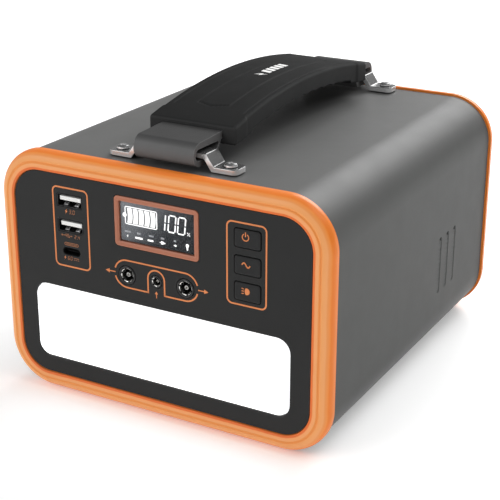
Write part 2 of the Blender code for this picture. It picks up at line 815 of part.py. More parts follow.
def make_outlets():
    step = PANEL_FACE - PANEL_THICK - GAP
    for name, x in (("ac_outlet_left", -OUTLET_X), ("ac_outlet_right", OUTLET_X)):
        half = OUTLET_HALF - GAP
        bm = bmesh.new()
        slab(bm, half, half, 2.7, x, OUTLET_Z, step - 1.0, PANEL_FACE + 0.2, "Y", 3)
        outlet = finish(name, bm, "black_plastic")
        half = OUTLET_HALF + 2.0
        bm = bmesh.new()
        slab(bm, half, half, 3.0, x, OUTLET_Z, step - 1.6, step, "Y", 3)
        join(outlet, name + "_flange", bm)
        half = OUTLET_HALF - 1.0
        bm = bmesh.new()
        slab(bm, half, half, 2.0, x, OUTLET_Z, 70.0, step - 0.8, "Y", 3)
        join(outlet, name + "_case", bm)
        slots = bmesh.new()
        box(slots, x - 7.45, x - 5.25, 82.0, 97.0, OUTLET_Z - 0.8, OUTLET_Z + 7.2)
        box(slots, x + 5.25, x + 7.45, 82.0, 97.0, OUTLET_Z - 0.8, OUTLET_Z + 6.2)
        rod(slots, 2.3, x, OUTLET_Z - 8.0, 82.0, 97.0, "Y", 12)
        cut(outlet, name + "_slots", slots)


def make_fan():
    y0, y1 = FAN_Y
    bm = bmesh.new()
    slab(bm, FAN_HALF, FAN_HALF, 3.0, 0, GRILLE_Z, y0, y1, "Y", 3)
    fan = finish("fan_frame", bm, "black_plastic")
    bm = bmesh.new()
    rod(bm, 23.2, 0, GRILLE_Z, y0 - 2, y1 + 2, "Y", 28)
    cut(fan, "fan_bore", bm)
    bm = bmesh.new()
    rod(bm, 9.0, 0, GRILLE_Z, y0 + 0.2, y0 + 2.4)
    join(fan, "fan_hub", bm)
    for index in range(3):
        spin = Matrix.Rotation(math.radians(30 + 60 * index), 4, "Y")
        move = Matrix.Translation((0, y0, GRILLE_Z)) @ spin
        near, far = 0.3 + 0.1 * index, 2.3 - 0.05 * index
        bm = bmesh.new()
        box(bm, -24.0, 24.0, near, far, -1.2, 1.2, move)
        join(fan, "fan_strut_" + str(index), bm)

    centre = Vector((0, (y0 + y1) / 2, GRILLE_Z))
    front, rear = y0 + 2.8 - centre.y, y1 - 0.4 - centre.y
    profile = [(0, rear), (8.8, rear), (9.4, rear - 0.5), (9.4, front), (0, front)]
    rotor = turned("fan_rotor", profile, "black_plastic", centre, "Y", 20, flip=True)
    for index in range(7):
        spin = Matrix.Rotation(math.radians(360 * index / 7 + 8), 4, "Y")
        pitch = Matrix.Rotation(math.radians(52), 4, "X")
        move = Matrix.Translation(centre + Vector((0, 0.9, 0)))
        bm = bmesh.new()
        box(bm, 8.6, 22.4, -0.6, 0.6, -4.6, 4.6, move @ spin @ pitch)
        join(rotor, "fan_blade_" + str(index), bm)


# ---------------------------------------------------------------- battery and electronics


def cell_centres():
    for column in range(CELLS_X):
        for row in range(CELLS_Y):
            x = (column - (CELLS_X - 1) / 2) * CELL_PITCH
            y = PACK_Y + (row - (CELLS_Y - 1) / 2) * CELL_PITCH
            yield x, y


def make_battery():
    z0, z1 = CELL_Z
    bm = bmesh.new()
    for x, y in cell_centres():
        rod(bm, CELL_RADIUS, x, y, z0, z1, "Z", 16)
    pack = finish("cell_pack", bm, "cell_wrap")
    top, bottom = bmesh.new(), bmesh.new()
    for row in range(CELLS_Y):
        y = PACK_Y + (row - 1) * CELL_PITCH
        box(top, -56, 56, y - 4, y + 4, z1 - 0.4, z1 + 0.5)
    for column in range(CELLS_X):
        x = (column - 1.5) * CELL_PITCH
        box(bottom, x - 4, x + 4, PACK_Y - 39, PACK_Y + 39, z0 - 0.5, z0 + 0.4)
    join(pack, "bars_top", top)
    join(pack, "bars_bottom", bottom)

    half_x = CELLS_X * CELL_PITCH / 2 + 1.0
    half_y = CELLS_Y * CELL_PITCH / 2 + 1.0
    for name, low, high in (("cell_holder_low", 14.0, 20.0), ("cell_holder_high", 71.0, 77.0)):
        bm = bmesh.new()
        slab(bm, half_x, half_y, 6.0, 0, PACK_Y, low, high, "Z", 3)
        holder = finish(name, bm, "holder_plastic")
        holes = bmesh.new()
        for x, y in cell_centres():
            rod(holes, CELL_RADIUS + 0.35, x, y, low - 2, high + 2, "Z", 16)
        cut(holder, name + "_holes", holes)

    bm = bmesh.new()
    slab(bm, half_x + 2.3, half_y + 2.3, 8.3, 0, PACK_Y, TRAY_Z, 25.0, "Z", 3)
    tray = finish("chassis_tray", bm, "holder_plastic")
    bm = bmesh.new()
    slab(bm, half_x + GAP, half_y + GAP, 6.3, 0, PACK_Y, TRAY_Z + 3.0, 30.0, "Z", 3)
    cut(tray, "tray_hollow", bm)

    front = PACK_Y - half_y - 3.0
    bm = bmesh.new()
    box(bm, -50, 50, front - 1.6, front, 28, 68)
    board = finish("bms_board", bm, "circuit_board")
    chips = bmesh.new()
    for index in range(6):
        x = -40 + 16 * index
        box(chips, x - 4, x + 4, front - 4.4, front - 1.2, 34, 43)
    box(chips, -12, 12, front - 3.2, front - 1.3, 52, 62)
    join(board, "bms_chips", chips)


def make_inverter():
    base = INVERTER_Z
    top = base + 1.6
    bm = bmesh.new()
    box(bm, -66, 66, -44, 62, base, top)
    board = finish("inverter_board", bm, "circuit_board")
    parts = bmesh.new()
    for x, y in ((-50, -32), (-32, -32), (-50, -14)):
        rod(parts, 7.0, x, y, top - 0.4, base + 22.0, "Z", 12)
    box(parts, 44, 58, -36, -16, top - 0.3, base + 14)
    box(parts, 40, 60, 6, 12, top - 0.3, base + 16)
    join(board, "inverter_parts", parts)

    low = top + GAP
    bm = bmesh.new()
    slab(bm, 17.0, 20.0, 1.0, 4, -22, low, low + 22.0, "Z", 1)
    core = finish("transformer", bm, "ferrite")
    windows = bmesh.new()
    for y in (-33.5, -10.5):
        box(windows, -20, 28, y - 4.0, y + 4.0, low + 4.5, low + 17.5)
    cut(core, "core_windows", windows)

    bm = bmesh.new()
    box(bm, -60, -22.4, 8, 54, low, low + 3.5)
    sink = finish("heat_sink", bm, "aluminium")
    fins = bmesh.new()
    for index in range(7):
        x = -60 + 6.0 * index
        box(fins, x, x + 1.6, 8, 54, low + 1.0, low + 20.0)
    join(sink, "heat_sink_fins", fins)


def smooth_path(corners, steps):
    """Points on a smooth curve that passes through the corners."""
    path = []
    for i in range(len(corners) - 1):
        p0 = Vector(corners[max(i - 1, 0)])
        p1, p2 = Vector(corners[i]), Vector(corners[i + 1])
        p3 = Vector(corners[min(i + 2, len(corners) - 1)])
        for step in range(steps):
            t = step / steps
            bend = 2 * p1 + (p2 - p0) * t + (2 * p0 - 5 * p1 + 4 * p2 - p3) * t * t
            path.append((bend + (3 * p1 - p0 - 3 * p2 + p3) * t**3) / 2)
    path.append(Vector(corners[-1]))
    return path


def lead(name, corners, radius, look):
    """A round lead: a curve with a bevel along a smooth path."""
    curve = bpy.data.curves.new(name, "CURVE")
    curve.dimensions = "3D"
    curve.bevel_depth = radius * MM
    curve.bevel_resolution = 2
    curve.use_fill_caps = True
    path = smooth_path(corners, 4)
    spline = curve.splines.new("POLY")
    spline.points.add(len(path) - 1)
    for point, here in zip(spline.points, path):
        point.co = (*(here * MM), 1)
    add_object(name, curve, look)


def make_leads():
    for name, x, look in (("lead_red", 22.0, "red_lead"), ("lead_black", 34.0, "black_lead")):
        corners = [
            (x, -55.0, 62.0),
            (x, -60.5, 66.0),
            (x, -62.0, 76.0),
            (x, -60.0, 87.0),
            (x, -54.0, 92.0),
            (x, -47.0, 90.0),
        ]
        lead(name, corners, 2.2, look)


make_shell()
make_bezels()
make_feet()
make_front_panel()
make_lamp()
make_display()
make_usb()
make_jack("dc_out_left", OUT_JACK_X[0], OUT_JACK_RADIUS, OUT_BORE, OUT_PIN)
make_jack("dc_in", IN_JACK_X, IN_JACK_RADIUS, IN_BORE, IN_PIN)
make_jack("dc_out_right", OUT_JACK_X[1], OUT_JACK_RADIUS, OUT_BORE, OUT_PIN)
make_io_board()
make_buttons()
make_grip()
make_strap()
make_brackets()
make_rear_panel()
make_rear_screws()
make_outlets()
make_fan()
make_battery()
make_inverter()
make_leads()
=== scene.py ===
"""Looks of the portable power station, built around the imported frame.

Sizes here are millimetres in the frame's own axes: +X to the right, +Y to the rear, +Z up.
"""

import json
import math

import bmesh
import bpy
from mathutils import Euler, Matrix, Vector


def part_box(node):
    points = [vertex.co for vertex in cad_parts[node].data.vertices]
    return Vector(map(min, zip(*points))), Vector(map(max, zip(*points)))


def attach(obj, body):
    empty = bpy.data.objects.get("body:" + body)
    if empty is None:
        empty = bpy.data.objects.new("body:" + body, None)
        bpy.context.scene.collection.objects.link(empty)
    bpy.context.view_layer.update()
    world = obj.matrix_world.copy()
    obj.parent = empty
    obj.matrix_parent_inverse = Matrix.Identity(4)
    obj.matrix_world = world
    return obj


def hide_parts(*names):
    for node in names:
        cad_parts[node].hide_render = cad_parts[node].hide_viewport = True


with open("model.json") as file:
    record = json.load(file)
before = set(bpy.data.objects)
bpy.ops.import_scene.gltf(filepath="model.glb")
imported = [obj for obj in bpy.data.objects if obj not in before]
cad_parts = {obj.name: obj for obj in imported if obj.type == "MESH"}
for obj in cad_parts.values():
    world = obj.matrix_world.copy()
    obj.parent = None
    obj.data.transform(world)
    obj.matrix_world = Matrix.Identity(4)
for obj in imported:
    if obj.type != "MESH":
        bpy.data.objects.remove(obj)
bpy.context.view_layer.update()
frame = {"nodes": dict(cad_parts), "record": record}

MM = 0.001


class Extent:
    """A CAD node's extent in millimetres: its corners, its middle and half its size."""

    def __init__(self, node):
        low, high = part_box(node)
        self.low, self.high = low / MM, high / MM
        self.x, self.y, self.z = [(a + b) / 2 for a, b in zip(self.low, self.high)]
        self.half_x, self.half_y, self.half_z = [(b - a) / 2 for a, b in zip(self.low, self.high)]
        self.spot = (self.x, self.z)


# ---- sizes read from the frame

BEZEL = Extent("front_bezel")
HALF_X = BEZEL.high.x
HALF_Z = BEZEL.half_z
BODY_Z = BEZEL.z
FACE_Y = -BEZEL.low.y
SHELL = Extent("shell")
SHELL_INSET = HALF_X - SHELL.high.x
SHELL_WALL = 2.0
CORNER = 22.5
CORNER_STEPS = 24

PANEL = Extent("front_panel")
PANEL_Y = PANEL.low.y
PANEL_CORNER = 13.7
INK = 0.07  # how far printed marks stand proud

LAMP = Extent("lamp_diffuser")
LAMP_CORNER = 6.2
DISPLAY = Extent("display_bezel")
DISPLAY_BORDER = 2.25
LCD = Extent("lcd_module")

GRIP = Extent("handle_grip")
GRIP_PEAK_Y = 5.0
GRIP_BOW = 0.0016
GRIP_BOTTOM = 129.7
GRIP_LUG_Y = 50.4
STRAP = Extent("handle_strap")
STRAP_THICK = 3.8
STRAP_RISE = 7.5
LOOP_OUTER = 5.4
LOOP_HOLE = 2.4

VENT_Y = (27.5, 36.7, 45.9)
VENT_Z = 47.45
VENT_HALF_Y = 1.4
VENT_HALF_Z = 14.35
VENT_PITCH = 2.6
SCREW_X = Extent("bracket_screw_front_right").x
SCREW_Y = abs(Extent("bracket_screw_front_right").y - GRIP.y)
CORNERS = ("front_left", "front_right", "rear_left", "rear_right")
REAR_SCREWS = ("low_left", "low_right", "high_left", "high_right")
OUTLETS = ("ac_outlet_left", "ac_outlet_right")
SOCKETS = ("usb_a_upper", "usb_a_lower", "usb_c")
JACKS = ("dc_out_left", "dc_in", "dc_out_right")
BUTTONS = ("power", "ac", "lamp")
BUTTON_HALF = (6.1, 4.0)


# ---- outlines


def arc(centre, radius, start, end, steps=12):
    """Points along a circle from one angle to the other, in degrees."""
    angles = [math.radians(start + (end - start) * step / steps) for step in range(steps + 1)]
    return [(centre[0] + radius * math.cos(a), centre[1] + radius * math.sin(a)) for a in angles]


def circle(centre, radius, steps=24):
    return arc(centre, radius, 0, 360 - 360 / steps, steps - 1)


def rounded(half_u, half_v, radius, steps=8, centre=(0.0, 0.0)):
    """Outline of a rounded rectangle as (u, v) pairs, anticlockwise."""
    points = []
    for quarter, (side_u, side_v) in enumerate(((1, 1), (-1, 1), (-1, -1), (1, -1))):
        pivot = (centre[0] + side_u * (half_u - radius), centre[1] + side_v * (half_v - radius))
        points += arc(pivot, radius, 90 * quarter, 90 * quarter + 90, steps)
    return points


def wave(x, z, half, rise):
    """One period of a sine, from x - half to x + half."""
    shares = [step / 24 for step in range(25)]
    return [(x - half + 2 * half * s, z + rise * math.sin(2 * math.pi * s)) for s in shares]


def to_world(axis, along, u, v):
    """A point from its distance along the axis and its two other coordinates."""
    if axis == "X":
        return Vector((along, u, v))
    if axis == "Y":
        return Vector((u, along, v))
    return Vector((u, v, along))


# ---- mesh building


def add_object(name, mesh):
    obj = bpy.data.objects.new(name, mesh)
    bpy.context.scene.collection.objects.link(obj)
    return obj


def finish_mesh(name, bm):
    """A scene object from a bmesh in millimetres."""
    bmesh.ops.remove_doubles(bm, verts=bm.verts, dist=1e-4)
    bmesh.ops.recalc_face_normals(bm, faces=bm.faces)
    bmesh.ops.scale(bm, vec=(MM, MM, MM), verts=bm.verts)
    mesh = bpy.data.meshes.new(name)
    bm.to_mesh(mesh)
    bm.free()
    return add_object(name, mesh)


def add_solid(bm, outline, axis, start, end):
    """An outline pushed along an axis, as one closed body."""
    base = bm.faces.new([bm.verts.new(to_world(axis, start, u, v)) for u, v in outline])
    out = bmesh.ops.extrude_face_region(bm, geom=[base])
    moved = [item for item in out["geom"] if isinstance(item, bmesh.types.BMVert)]
    bmesh.ops.translate(bm, verts=moved, vec=to_world(axis, end - start, 0, 0))


def add_block(bm, place, size):
    bmesh.ops.create_cube(bm, size=1.0, matrix=place @ Matrix.Diagonal((*size, 1.0)))


def add_box(bm, low, high):
    centre = [(a + b) / 2 for a, b in zip(low, high)]
    add_block(bm, Matrix.Translation(centre), [b - a for a, b in zip(low, high)])


def add_loft(bm, rings, closed=False):
    """Quads that join rings of equal length; closed joins the last ring to the first."""
    made = [[bm.verts.new(point) for point in ring] for ring in rings]
    count = len(made[0])
    for i in range(len(made) if closed else len(made) - 1):
        one, two = made[i], made[(i + 1) % len(made)]
        for k in range(count):
            n = (k + 1) % count
            bm.faces.new((one[k], one[n], two[n], two[k]))
    if not closed:
        bm.faces.new(made[0][::-1])
        bm.faces.new(made[-1])


def built(add, name, *details):
    """A body of its own from one of the functions above."""
    bm = bmesh.new()
    add(bm, *details)
    return finish_mesh(name, bm)


def stepped(name, rings, axis="Y", steps=6):
    """A body from rings (along, half_u, half_v, radius, centre_u, centre_v)."""
    placed = []
    for along, half_u, half_v, radius, *centre in rings:
        outline = rounded(half_u, half_v, radius, steps, centre)
        placed.append([to_world(axis, along, u, v) for u, v in outline])
    return built(add_loft, name, placed)


def swept(name, profile, half_x, half_z, radius, centre, steps=CORNER_STEPS):
    """A rounded frame in the XZ plane from a section of (outset, y) pairs."""
    rings = []
    for outset, y in profile:
        outline = rounded(half_x + outset, half_z + outset, radius + outset, steps, centre)
        rings.append([(x, y, z) for x, z in outline])
    return built(add_loft, name, rings, True)


def turned(name, profile, centre, axis="Y", steps=32):
    """A turned body from (radius, along) pairs that start and end on its axis.

    About Y, the profile's height runs towards -Y.
    """
    bm = bmesh.new()
    verts = [bm.verts.new((radius, 0, along)) for radius, along in profile]
    for pair in zip(verts, verts[1:]):
        bm.edges.new(pair)
    bmesh.ops.scale(bm, vec=(MM, MM, MM), verts=bm.verts)
    mesh = bpy.data.meshes.new(name)
    bm.to_mesh(mesh)
    bm.free()
    obj = add_object(name, mesh)
    spin = obj.modifiers.new("turn", "SCREW")
    spin.steps = steps
    spin.render_steps = steps
    spin.use_merge_vertices = True
    spin.merge_threshold = 1e-6
    settle(obj)
    if axis == "Y":
        obj.rotation_euler = (math.pi / 2, 0, 0)
    obj.location = Vector(centre) * MM
    obj.data.transform(obj.matrix_basis.copy())
    obj.matrix_basis = Matrix.Identity(4)
    bm = bmesh.new()
    bm.from_mesh(obj.data)
    bmesh.ops.recalc_face_normals(bm, faces=bm.faces)
    bm.to_mesh(obj.data)
    bm.free()
    return obj


def settle(obj):
    """Turns an object's modifiers into mesh."""
    bpy.context.view_layer.update()
    graph = bpy.context.evaluated_depsgraph_get()
    mesh = bpy.data.meshes.new_from_object(obj.evaluated_get(graph))
    obj.modifiers.clear()
    obj.data = mesh


def combine(obj, *others, kind="DIFFERENCE"):
    """Cuts the other bodies from an object, or joins them to it, and removes them."""
    for other in others:
        step = obj.modifiers.new("combine", "BOOLEAN")
        step.operation = kind
        step.solver = "EXACT"
        step.object = other
    settle(obj)
    for other in others:
        bpy.data.objects.remove(other)


def soften(obj, width, segments=3, angle=32):
    """Rounds the sharp edges of an object."""
    step = obj.modifiers.new("soften", "BEVEL")
    step.width = width * MM
    step.segments = segments
    step.limit_method = "ANGLE"
    step.angle_limit = math.radians(angle)
    step.harden_normals = False
    settle(obj)


def piece(obj, body, look, slot, *nodes, smooth=38):
    """Gives a piece its shading, material and body, and hides the CAD nodes it stands for; slot is not
    used.
    """
    obj.data.materials.clear()
    obj.data.materials.append(LOOKS[look])
    obj.data.shade_smooth()
    obj.data.set_sharp_from_angle(angle=math.radians(smooth))
    weigh = obj.modifiers.new("weigh", "WEIGHTED_NORMAL")
    weigh.keep_sharp = True
    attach(obj, body)
    if nodes:
        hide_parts(*nodes)


class Ink:
    """Marks printed in the XZ plane, gathered in one mesh between two depths."""

    def __init__(self, front, back):
        self.bm = bmesh.new()
        self.front, self.back = front, back

    def fill(self, outline):
        add_solid(self.bm, outline, "Y", self.back, self.front)

    def band(self, left, right, closed=False):
        """A line between two edges."""
        front, back = self.front, self.back
        rings = []
        for (lx, lz), (rx, rz) in zip(left, right):
            rings.append(((lx, front, lz), (rx, front, rz), (rx, back, rz), (lx, back, lz)))
        add_loft(self.bm, rings, closed)

    def line(self, points, width):
        """A line of even width along points."""
        left, right = [], []
        for i, (x, z) in enumerate(points):
            ahead = points[min(i + 1, len(points) - 1)]
            behind = points[max(i - 1, 0)]
            dx, dz = ahead[0] - behind[0], ahead[1] - behind[1]
            length = math.hypot(dx, dz)
            nx, nz = -dz / length * width / 2, dx / length * width / 2
            left.append((x + nx, z + nz))
            right.append((x - nx, z - nz))
        self.band(left, right)

    def frame(self, half_x, half_z, radius, centre, width, steps=10):
        """A rounded rectangle; the sizes are those of its outer edge."""
        outer = rounded(half_x, half_z, radius, steps, centre)
        inner = rounded(half_x - width, half_z - width, radius - width, steps, centre)
        self.band(outer, inner, closed=True)

    def done(self, name, look, slot="orange_plastic", body="body"):
        piece(finish_mesh(name, self.bm), body, look, slot)


# ---- materials


class Graph:
    """Short names for building one material's nodes."""

    def __init__(self, name, **values):
        self.material = bpy.data.materials.new(name)
        self.material.use_nodes = True
        self.tree = self.material.node_tree
        self.shader = self.tree.nodes["Principled BSDF"]
        self.place = self.node("ShaderNodeTexCoord").outputs["Object"]
        for key, value in values.items():
            self.shader.inputs[key.replace("_", " ")].default_value = value

    def node(self, kind, **settings):
        made = self.tree.nodes.new(kind)
        for key, value in settings.items():
            setattr(made, key, value)
        return made

    def link(self, source, target):
        self.tree.links.new(source, target)

    def to(self, name, source):
        """Links a source to one of the shader's own sockets."""
        self.link(source, self.shader.inputs[name])

    def tint(self, mask, colour):
        """Lays a colour over the base colour where the mask is high."""
        before = self.shader.inputs["Base Color"].links[0].from_socket
        self.to("Base Color", self.mix(mask, before, colour))

    def along(self, axis):
        split = self.node("ShaderNodeSeparateXYZ")
        self.link(self.place, split.inputs[0])
        return split.outputs[axis]

    def texture(self, kind, scale, **settings):
        made = self.node(kind, **settings)
        made.inputs["Scale"].default_value = scale
        self.link(self.place, made.inputs["Vector"])
        return made

    def noise(self, scale, detail=3.0, rough=0.5, stretch=None):
        made = self.texture("ShaderNodeTexNoise", scale)
        made.inputs["Detail"].default_value = detail
        made.inputs["Roughness"].default_value = rough
        if stretch:
            mapping = self.node("ShaderNodeMapping")
            mapping.inputs["Scale"].default_value = stretch
            self.link(self.place, mapping.inputs["Vector"])
            self.link(mapping.outputs["Vector"], made.inputs["Vector"])
        return made.outputs["Fac"]

    def spread(self, value, low, high, new_low=0.0, new_high=1.0, smooth=False):
        made = self.node("ShaderNodeMapRange")
        if smooth:
            made.interpolation_type = "SMOOTHSTEP"
        ends = {"From Min": low, "From Max": high, "To Min": new_low, "To Max": new_high}
        for socket, number in ends.items():
            made.inputs[socket].default_value = number
        self.link(value, made.inputs["Value"])
        return made.outputs["Result"]

    def cloud(self, scale, detail=3.0, rough=0.5, low=0.0, high=1.0):
        """Soft blotches between two values."""
        return self.spread(self.noise(scale, detail, rough), 0.3, 0.7, low, high)

    def math(self, operation, *values):
        made = self.node("ShaderNodeMath", operation=operation)
        for socket, value in zip(made.inputs, values):
            if isinstance(value, (int, float)):
                socket.default_value = value
            else:
                self.link(value, socket)
        return made.outputs[0]

    def mix(self, factor, one, two):
        made = self.node("ShaderNodeMix", data_type="RGBA")
        self.link(factor, made.inputs["Factor"])
        for name, value in (("A", one), ("B", two)):
            socket = next(s for s in made.inputs if s.name == name and s.type == "RGBA")
            if isinstance(value, tuple):
                socket.default_value = (*value, 1.0)
            else:
                self.link(value, socket)
        return next(s for s in made.outputs if s.type == "RGBA")

    def dot(self, normal, other):
        """How far a normal agrees with another one, or with an axis."""
        made = self.node("ShaderNodeVectorMath", operation="DOT_PRODUCT")
        self.link(normal, made.inputs[0])
        if isinstance(other, tuple):
            made.inputs[1].default_value = other
        else:
            self.link(other, made.inputs[1])
        return made.outputs["Value"]

    def normal(self):
        return self.node("ShaderNodeNewGeometry").outputs["Normal"]

    def edges(self, radius):
        """1 on sharp edges, 0 on flat ground."""
        bevel = self.node("ShaderNodeBevel", samples=4)
        bevel.inputs["Radius"].default_value = radius * MM
        return self.spread(self.dot(bevel.outputs["Normal"], self.normal()), 0.995, 0.85)

    def facing(self, axis):
        """How squarely the surface faces along an axis, from 0 to 1."""
        return self.math("ABSOLUTE", self.dot(self.normal(), axis))

    def relief(self, value, depth, strength=0.5):
        """A bump of that depth in millimetres; stacked on the one before."""
        made = self.node("ShaderNodeBump")
        made.inputs["Distance"].default_value = depth * MM
        made.inputs["Strength"].default_value = strength
        self.link(value, made.inputs["Height"])
        before = self.shader.inputs["Normal"]
        if before.is_linked:
            self.link(before.links[0].from_socket, made.inputs["Normal"])
        self.link(made.outputs["Normal"], before)

    def ridges(self, scale, depth, strength):
        """Even ridges across X."""
        bands = self.texture("ShaderNodeTexWave", scale, wave_type="BANDS", bands_direction="X")
        self.relief(bands.outputs["Fac"], depth, strength)


def surface(name, colour, rough, metal=0.0, specular=0.5, mottle=0.10, grain=2600.0, depth=0.03,
            wear=None, wear_reach=0.5, wear_most=0.35, rough_swing=0.06):
    """A moulded or metal surface: mottled colour, fine grain, uneven gloss and worn edges."""
    g = Graph(name, Metallic=metal, Specular_IOR_Level=specular)
    light = tuple(min(1.0, c * (1 + mottle)) for c in colour)
    dark = tuple(c * (1 - mottle) for c in colour)
    g.to("Base Color", g.mix(g.cloud(28.0, 5.0, 0.6), dark, light))
    if wear:
        scuff = g.spread(g.noise(420.0, 4.0, 0.7), 0.35, 0.65, 0.2, 1.0)
        worn = g.math("MULTIPLY", g.edges(wear_reach), scuff)
        g.tint(g.math("MULTIPLY", worn, wear_most), wear)
    fine = g.noise(grain, 2.0, 0.5)
    smear = g.noise(75.0, 4.0, 0.6)
    swing = g.math("ADD", g.math("MULTIPLY", fine, 0.35), g.math("MULTIPLY", smear, 0.65))
    g.to("Roughness", g.spread(swing, 0.25, 0.75, rough - rough_swing, rough + rough_swing))
    g.relief(fine, depth)
    return g


def plain(*details, **settings):
    return surface(*details, **settings).material


# Painted highlight and shade across the bezel, by millimetres in from its outer edge: pale bands stand
# in for reflections, deeper orange for shade.
ORANGE_SHEEN_SHADE_BANDS = (
    (-8.6, (0.38, 0.085, 0.012)), (-8.2, (0.74, 0.155, 0.028)), (-7.4, (0.78, 0.165, 0.035)),
    (-7.0, (0.87, 0.355, 0.125)), (-5.8, (0.84, 0.365, 0.140)), (-5.4, (0.81, 0.275, 0.062)),
    (-4.6, (0.82, 0.290, 0.070)), (-4.2, (0.85, 0.355, 0.115)), (-2.4, (0.86, 0.370, 0.135)),
    (-1.9, (0.84, 0.310, 0.090)), (-1.2, (0.88, 0.295, 0.060)), (-0.8, (0.86, 0.225, 0.030)),
    (0.0, (0.84, 0.205, 0.022)),
)


def make_orange():
    """Satin orange with painted reflection bands that follow the frame, and painted shade deeper at both
    its edges.
    """
    g = surface("orange_satin", (0.84, 0.22, 0.03), 0.42, specular=0.2, mottle=0.035, grain=3000.0,
                depth=0.012)
    out_x = g.math("ABSOLUTE", g.along("X"))
    out_z = g.math("ABSOLUTE", g.math("SUBTRACT", g.along("Z"), BODY_Z * MM))
    squares = []
    for out, half in ((out_x, HALF_X), (out_z, HALF_Z)):
        past = g.math("MAXIMUM", g.math("SUBTRACT", out, (half - CORNER) * MM), 0.0)
        squares.append(g.math("MULTIPLY", past, past))
    outset = g.math("SUBTRACT", g.math("SQRT", g.math("ADD", *squares)), CORNER * MM)
    place = g.math("ADD", outset, g.cloud(90.0, low=-0.00012, high=0.00012))
    ramp = g.node("ShaderNodeValToRGB")
    first, last = ORANGE_SHEEN_SHADE_BANDS[0][0], ORANGE_SHEEN_SHADE_BANDS[-1][0]
    g.link(g.spread(place, first * MM, last * MM), ramp.inputs["Fac"])
    stops = ramp.color_ramp.elements
    while len(stops) < len(ORANGE_SHEEN_SHADE_BANDS):
        stops.new(0.5)
    for stop, (at, colour) in zip(stops, ORANGE_SHEEN_SHADE_BANDS):
        stop.position = (at - first) / (last - first)
        stop.color = (*colour, 1.0)
    # Painted highlight and shade: the bands are laid on faces that face along Y.
    front = g.spread(g.facing((0, 1, 0)), 0.1, 0.6, smooth=True)
    g.tint(front, ramp.outputs["Color"])
    g.shader.inputs["Coat Weight"].default_value = 0.12
    g.shader.inputs["Coat Roughness"].default_value = 0.22
    return g.material


def make_shell_grey():
    """Painted sheet: grey with fine orange-peel and sparse lighter flecks, with painted shade on its
    flanks.
    """
    g = surface("shell_grey", (0.115, 0.116, 0.114), 0.47, specular=0.14, mottle=0.04, grain=1900.0,
                depth=0.02, wear=(0.24, 0.24, 0.235), wear_most=0.5, rough_swing=0.05)
    g.relief(g.noise(520.0, 2.0, 0.4), 0.03, 0.35)
    g.tint(g.spread(g.noise(3600.0, 1.0, 0.3), 0.66, 0.74, 0.0, 0.35), (0.17, 0.17, 0.165))
    # Painted shade: faces that face along X are darkened.
    g.tint(g.spread(g.facing((1, 0, 0)), 0.72, 1.0), (0.073, 0.074, 0.072))
    return g.material


def make_lamp_white():
    """Lit milky diffuser with a fine prism pattern, a little dimmer at its rim."""
    g = Graph("lamp_white", Roughness=0.35, Emission_Strength=1.0)
    across = g.math("DIVIDE", g.math("ABSOLUTE", g.along("X")), LAMP.half_x * MM)
    fade = g.spread(across, 0.86, 1.0, 1.0, 0.0, smooth=True)
    lit = g.math("MULTIPLY", fade, g.cloud(40.0, low=0.7))
    g.to("Base Color", g.mix(lit, (0.90, 0.91, 0.92), (1.0, 1.0, 1.0)))
    g.to("Emission Color", g.mix(lit, (0.86, 0.88, 0.90), (1.0, 1.0, 0.99)))
    g.ridges(260.0, 0.05, 0.4)
    g.relief(g.noise(2400.0, 2.0), 0.02, 0.4)
    return g.material


def make_lcd():
    """Blue-grey liquid crystal glass with a painted reflection that lightens it towards its top left,
    and a faint pixel grid.
    """
    g = Graph("lcd_glass", Roughness=0.22, Specular_IOR_Level=0.2)
    # Painted reflection: a lighter gradient towards the top left.
    slope = g.math("SUBTRACT", g.math("MULTIPLY", g.along("Z"), 0.9), g.along("X"))
    middle = (DISPLAY.z * 0.9 - DISPLAY.x) * MM
    share = g.spread(slope, middle - 0.012, middle + 0.024, smooth=True)
    shade = g.math("ADD", share, g.cloud(90.0, low=-0.05, high=0.05))
    g.to("Base Color", g.mix(shade, (0.012, 0.014, 0.017), (0.250, 0.263, 0.285)))
    g.ridges(900.0, 0.004, 0.15)
    return g.material


def make_segments(name, colour, strength):
    """Lit display segments, slightly uneven."""
    g = Graph(name, Roughness=0.5, Emission_Strength=strength)
    tone = g.mix(g.cloud(260.0), tuple(c * 0.9 for c in colour), colour)
    g.to("Emission Color", tone)
    g.to("Base Color", tone)
    return g.material


def make_window():
    """Clear acrylic with faint smudges."""
    g = Graph("clear_acrylic", Base_Color=(0.10, 0.11, 0.12, 1.0), Specular_IOR_Level=0.12, Alpha=0.08)
    g.to("Roughness", g.spread(g.noise(120.0, 5.0, 0.65), 0.35, 0.7, 0.04, 0.16))
    g.relief(g.noise(60.0, 2.0), 0.01, 0.2)
    return g.material


def make_rubber(name, colour, rough, specular, top=None, weave=False):
    """Soft-touch rubber with a leathery grain; top is a darker tone painted on its upward faces as
    shade.
    """
    g = surface(name, colour, rough, specular=specular, grain=2100.0, depth=0.04,
                wear=tuple(c * 2.3 for c in colour), wear_reach=0.8, wear_most=0.55, rough_swing=0.08)
    cells = g.texture("ShaderNodeTexVoronoi", 1500.0, feature="DISTANCE_TO_EDGE")
    g.relief(g.spread(cells.outputs["Distance"], 0.0, 0.12), 0.03, 0.35)
    # Painted shade: upward faces are darkened to the top colour.
    if top:
        g.tint(g.spread(g.facing((0, 0, 1)), 0.55, 0.95), top)
    if weave:
        g.ridges(190.0, 0.05, 0.35)
    return g.material


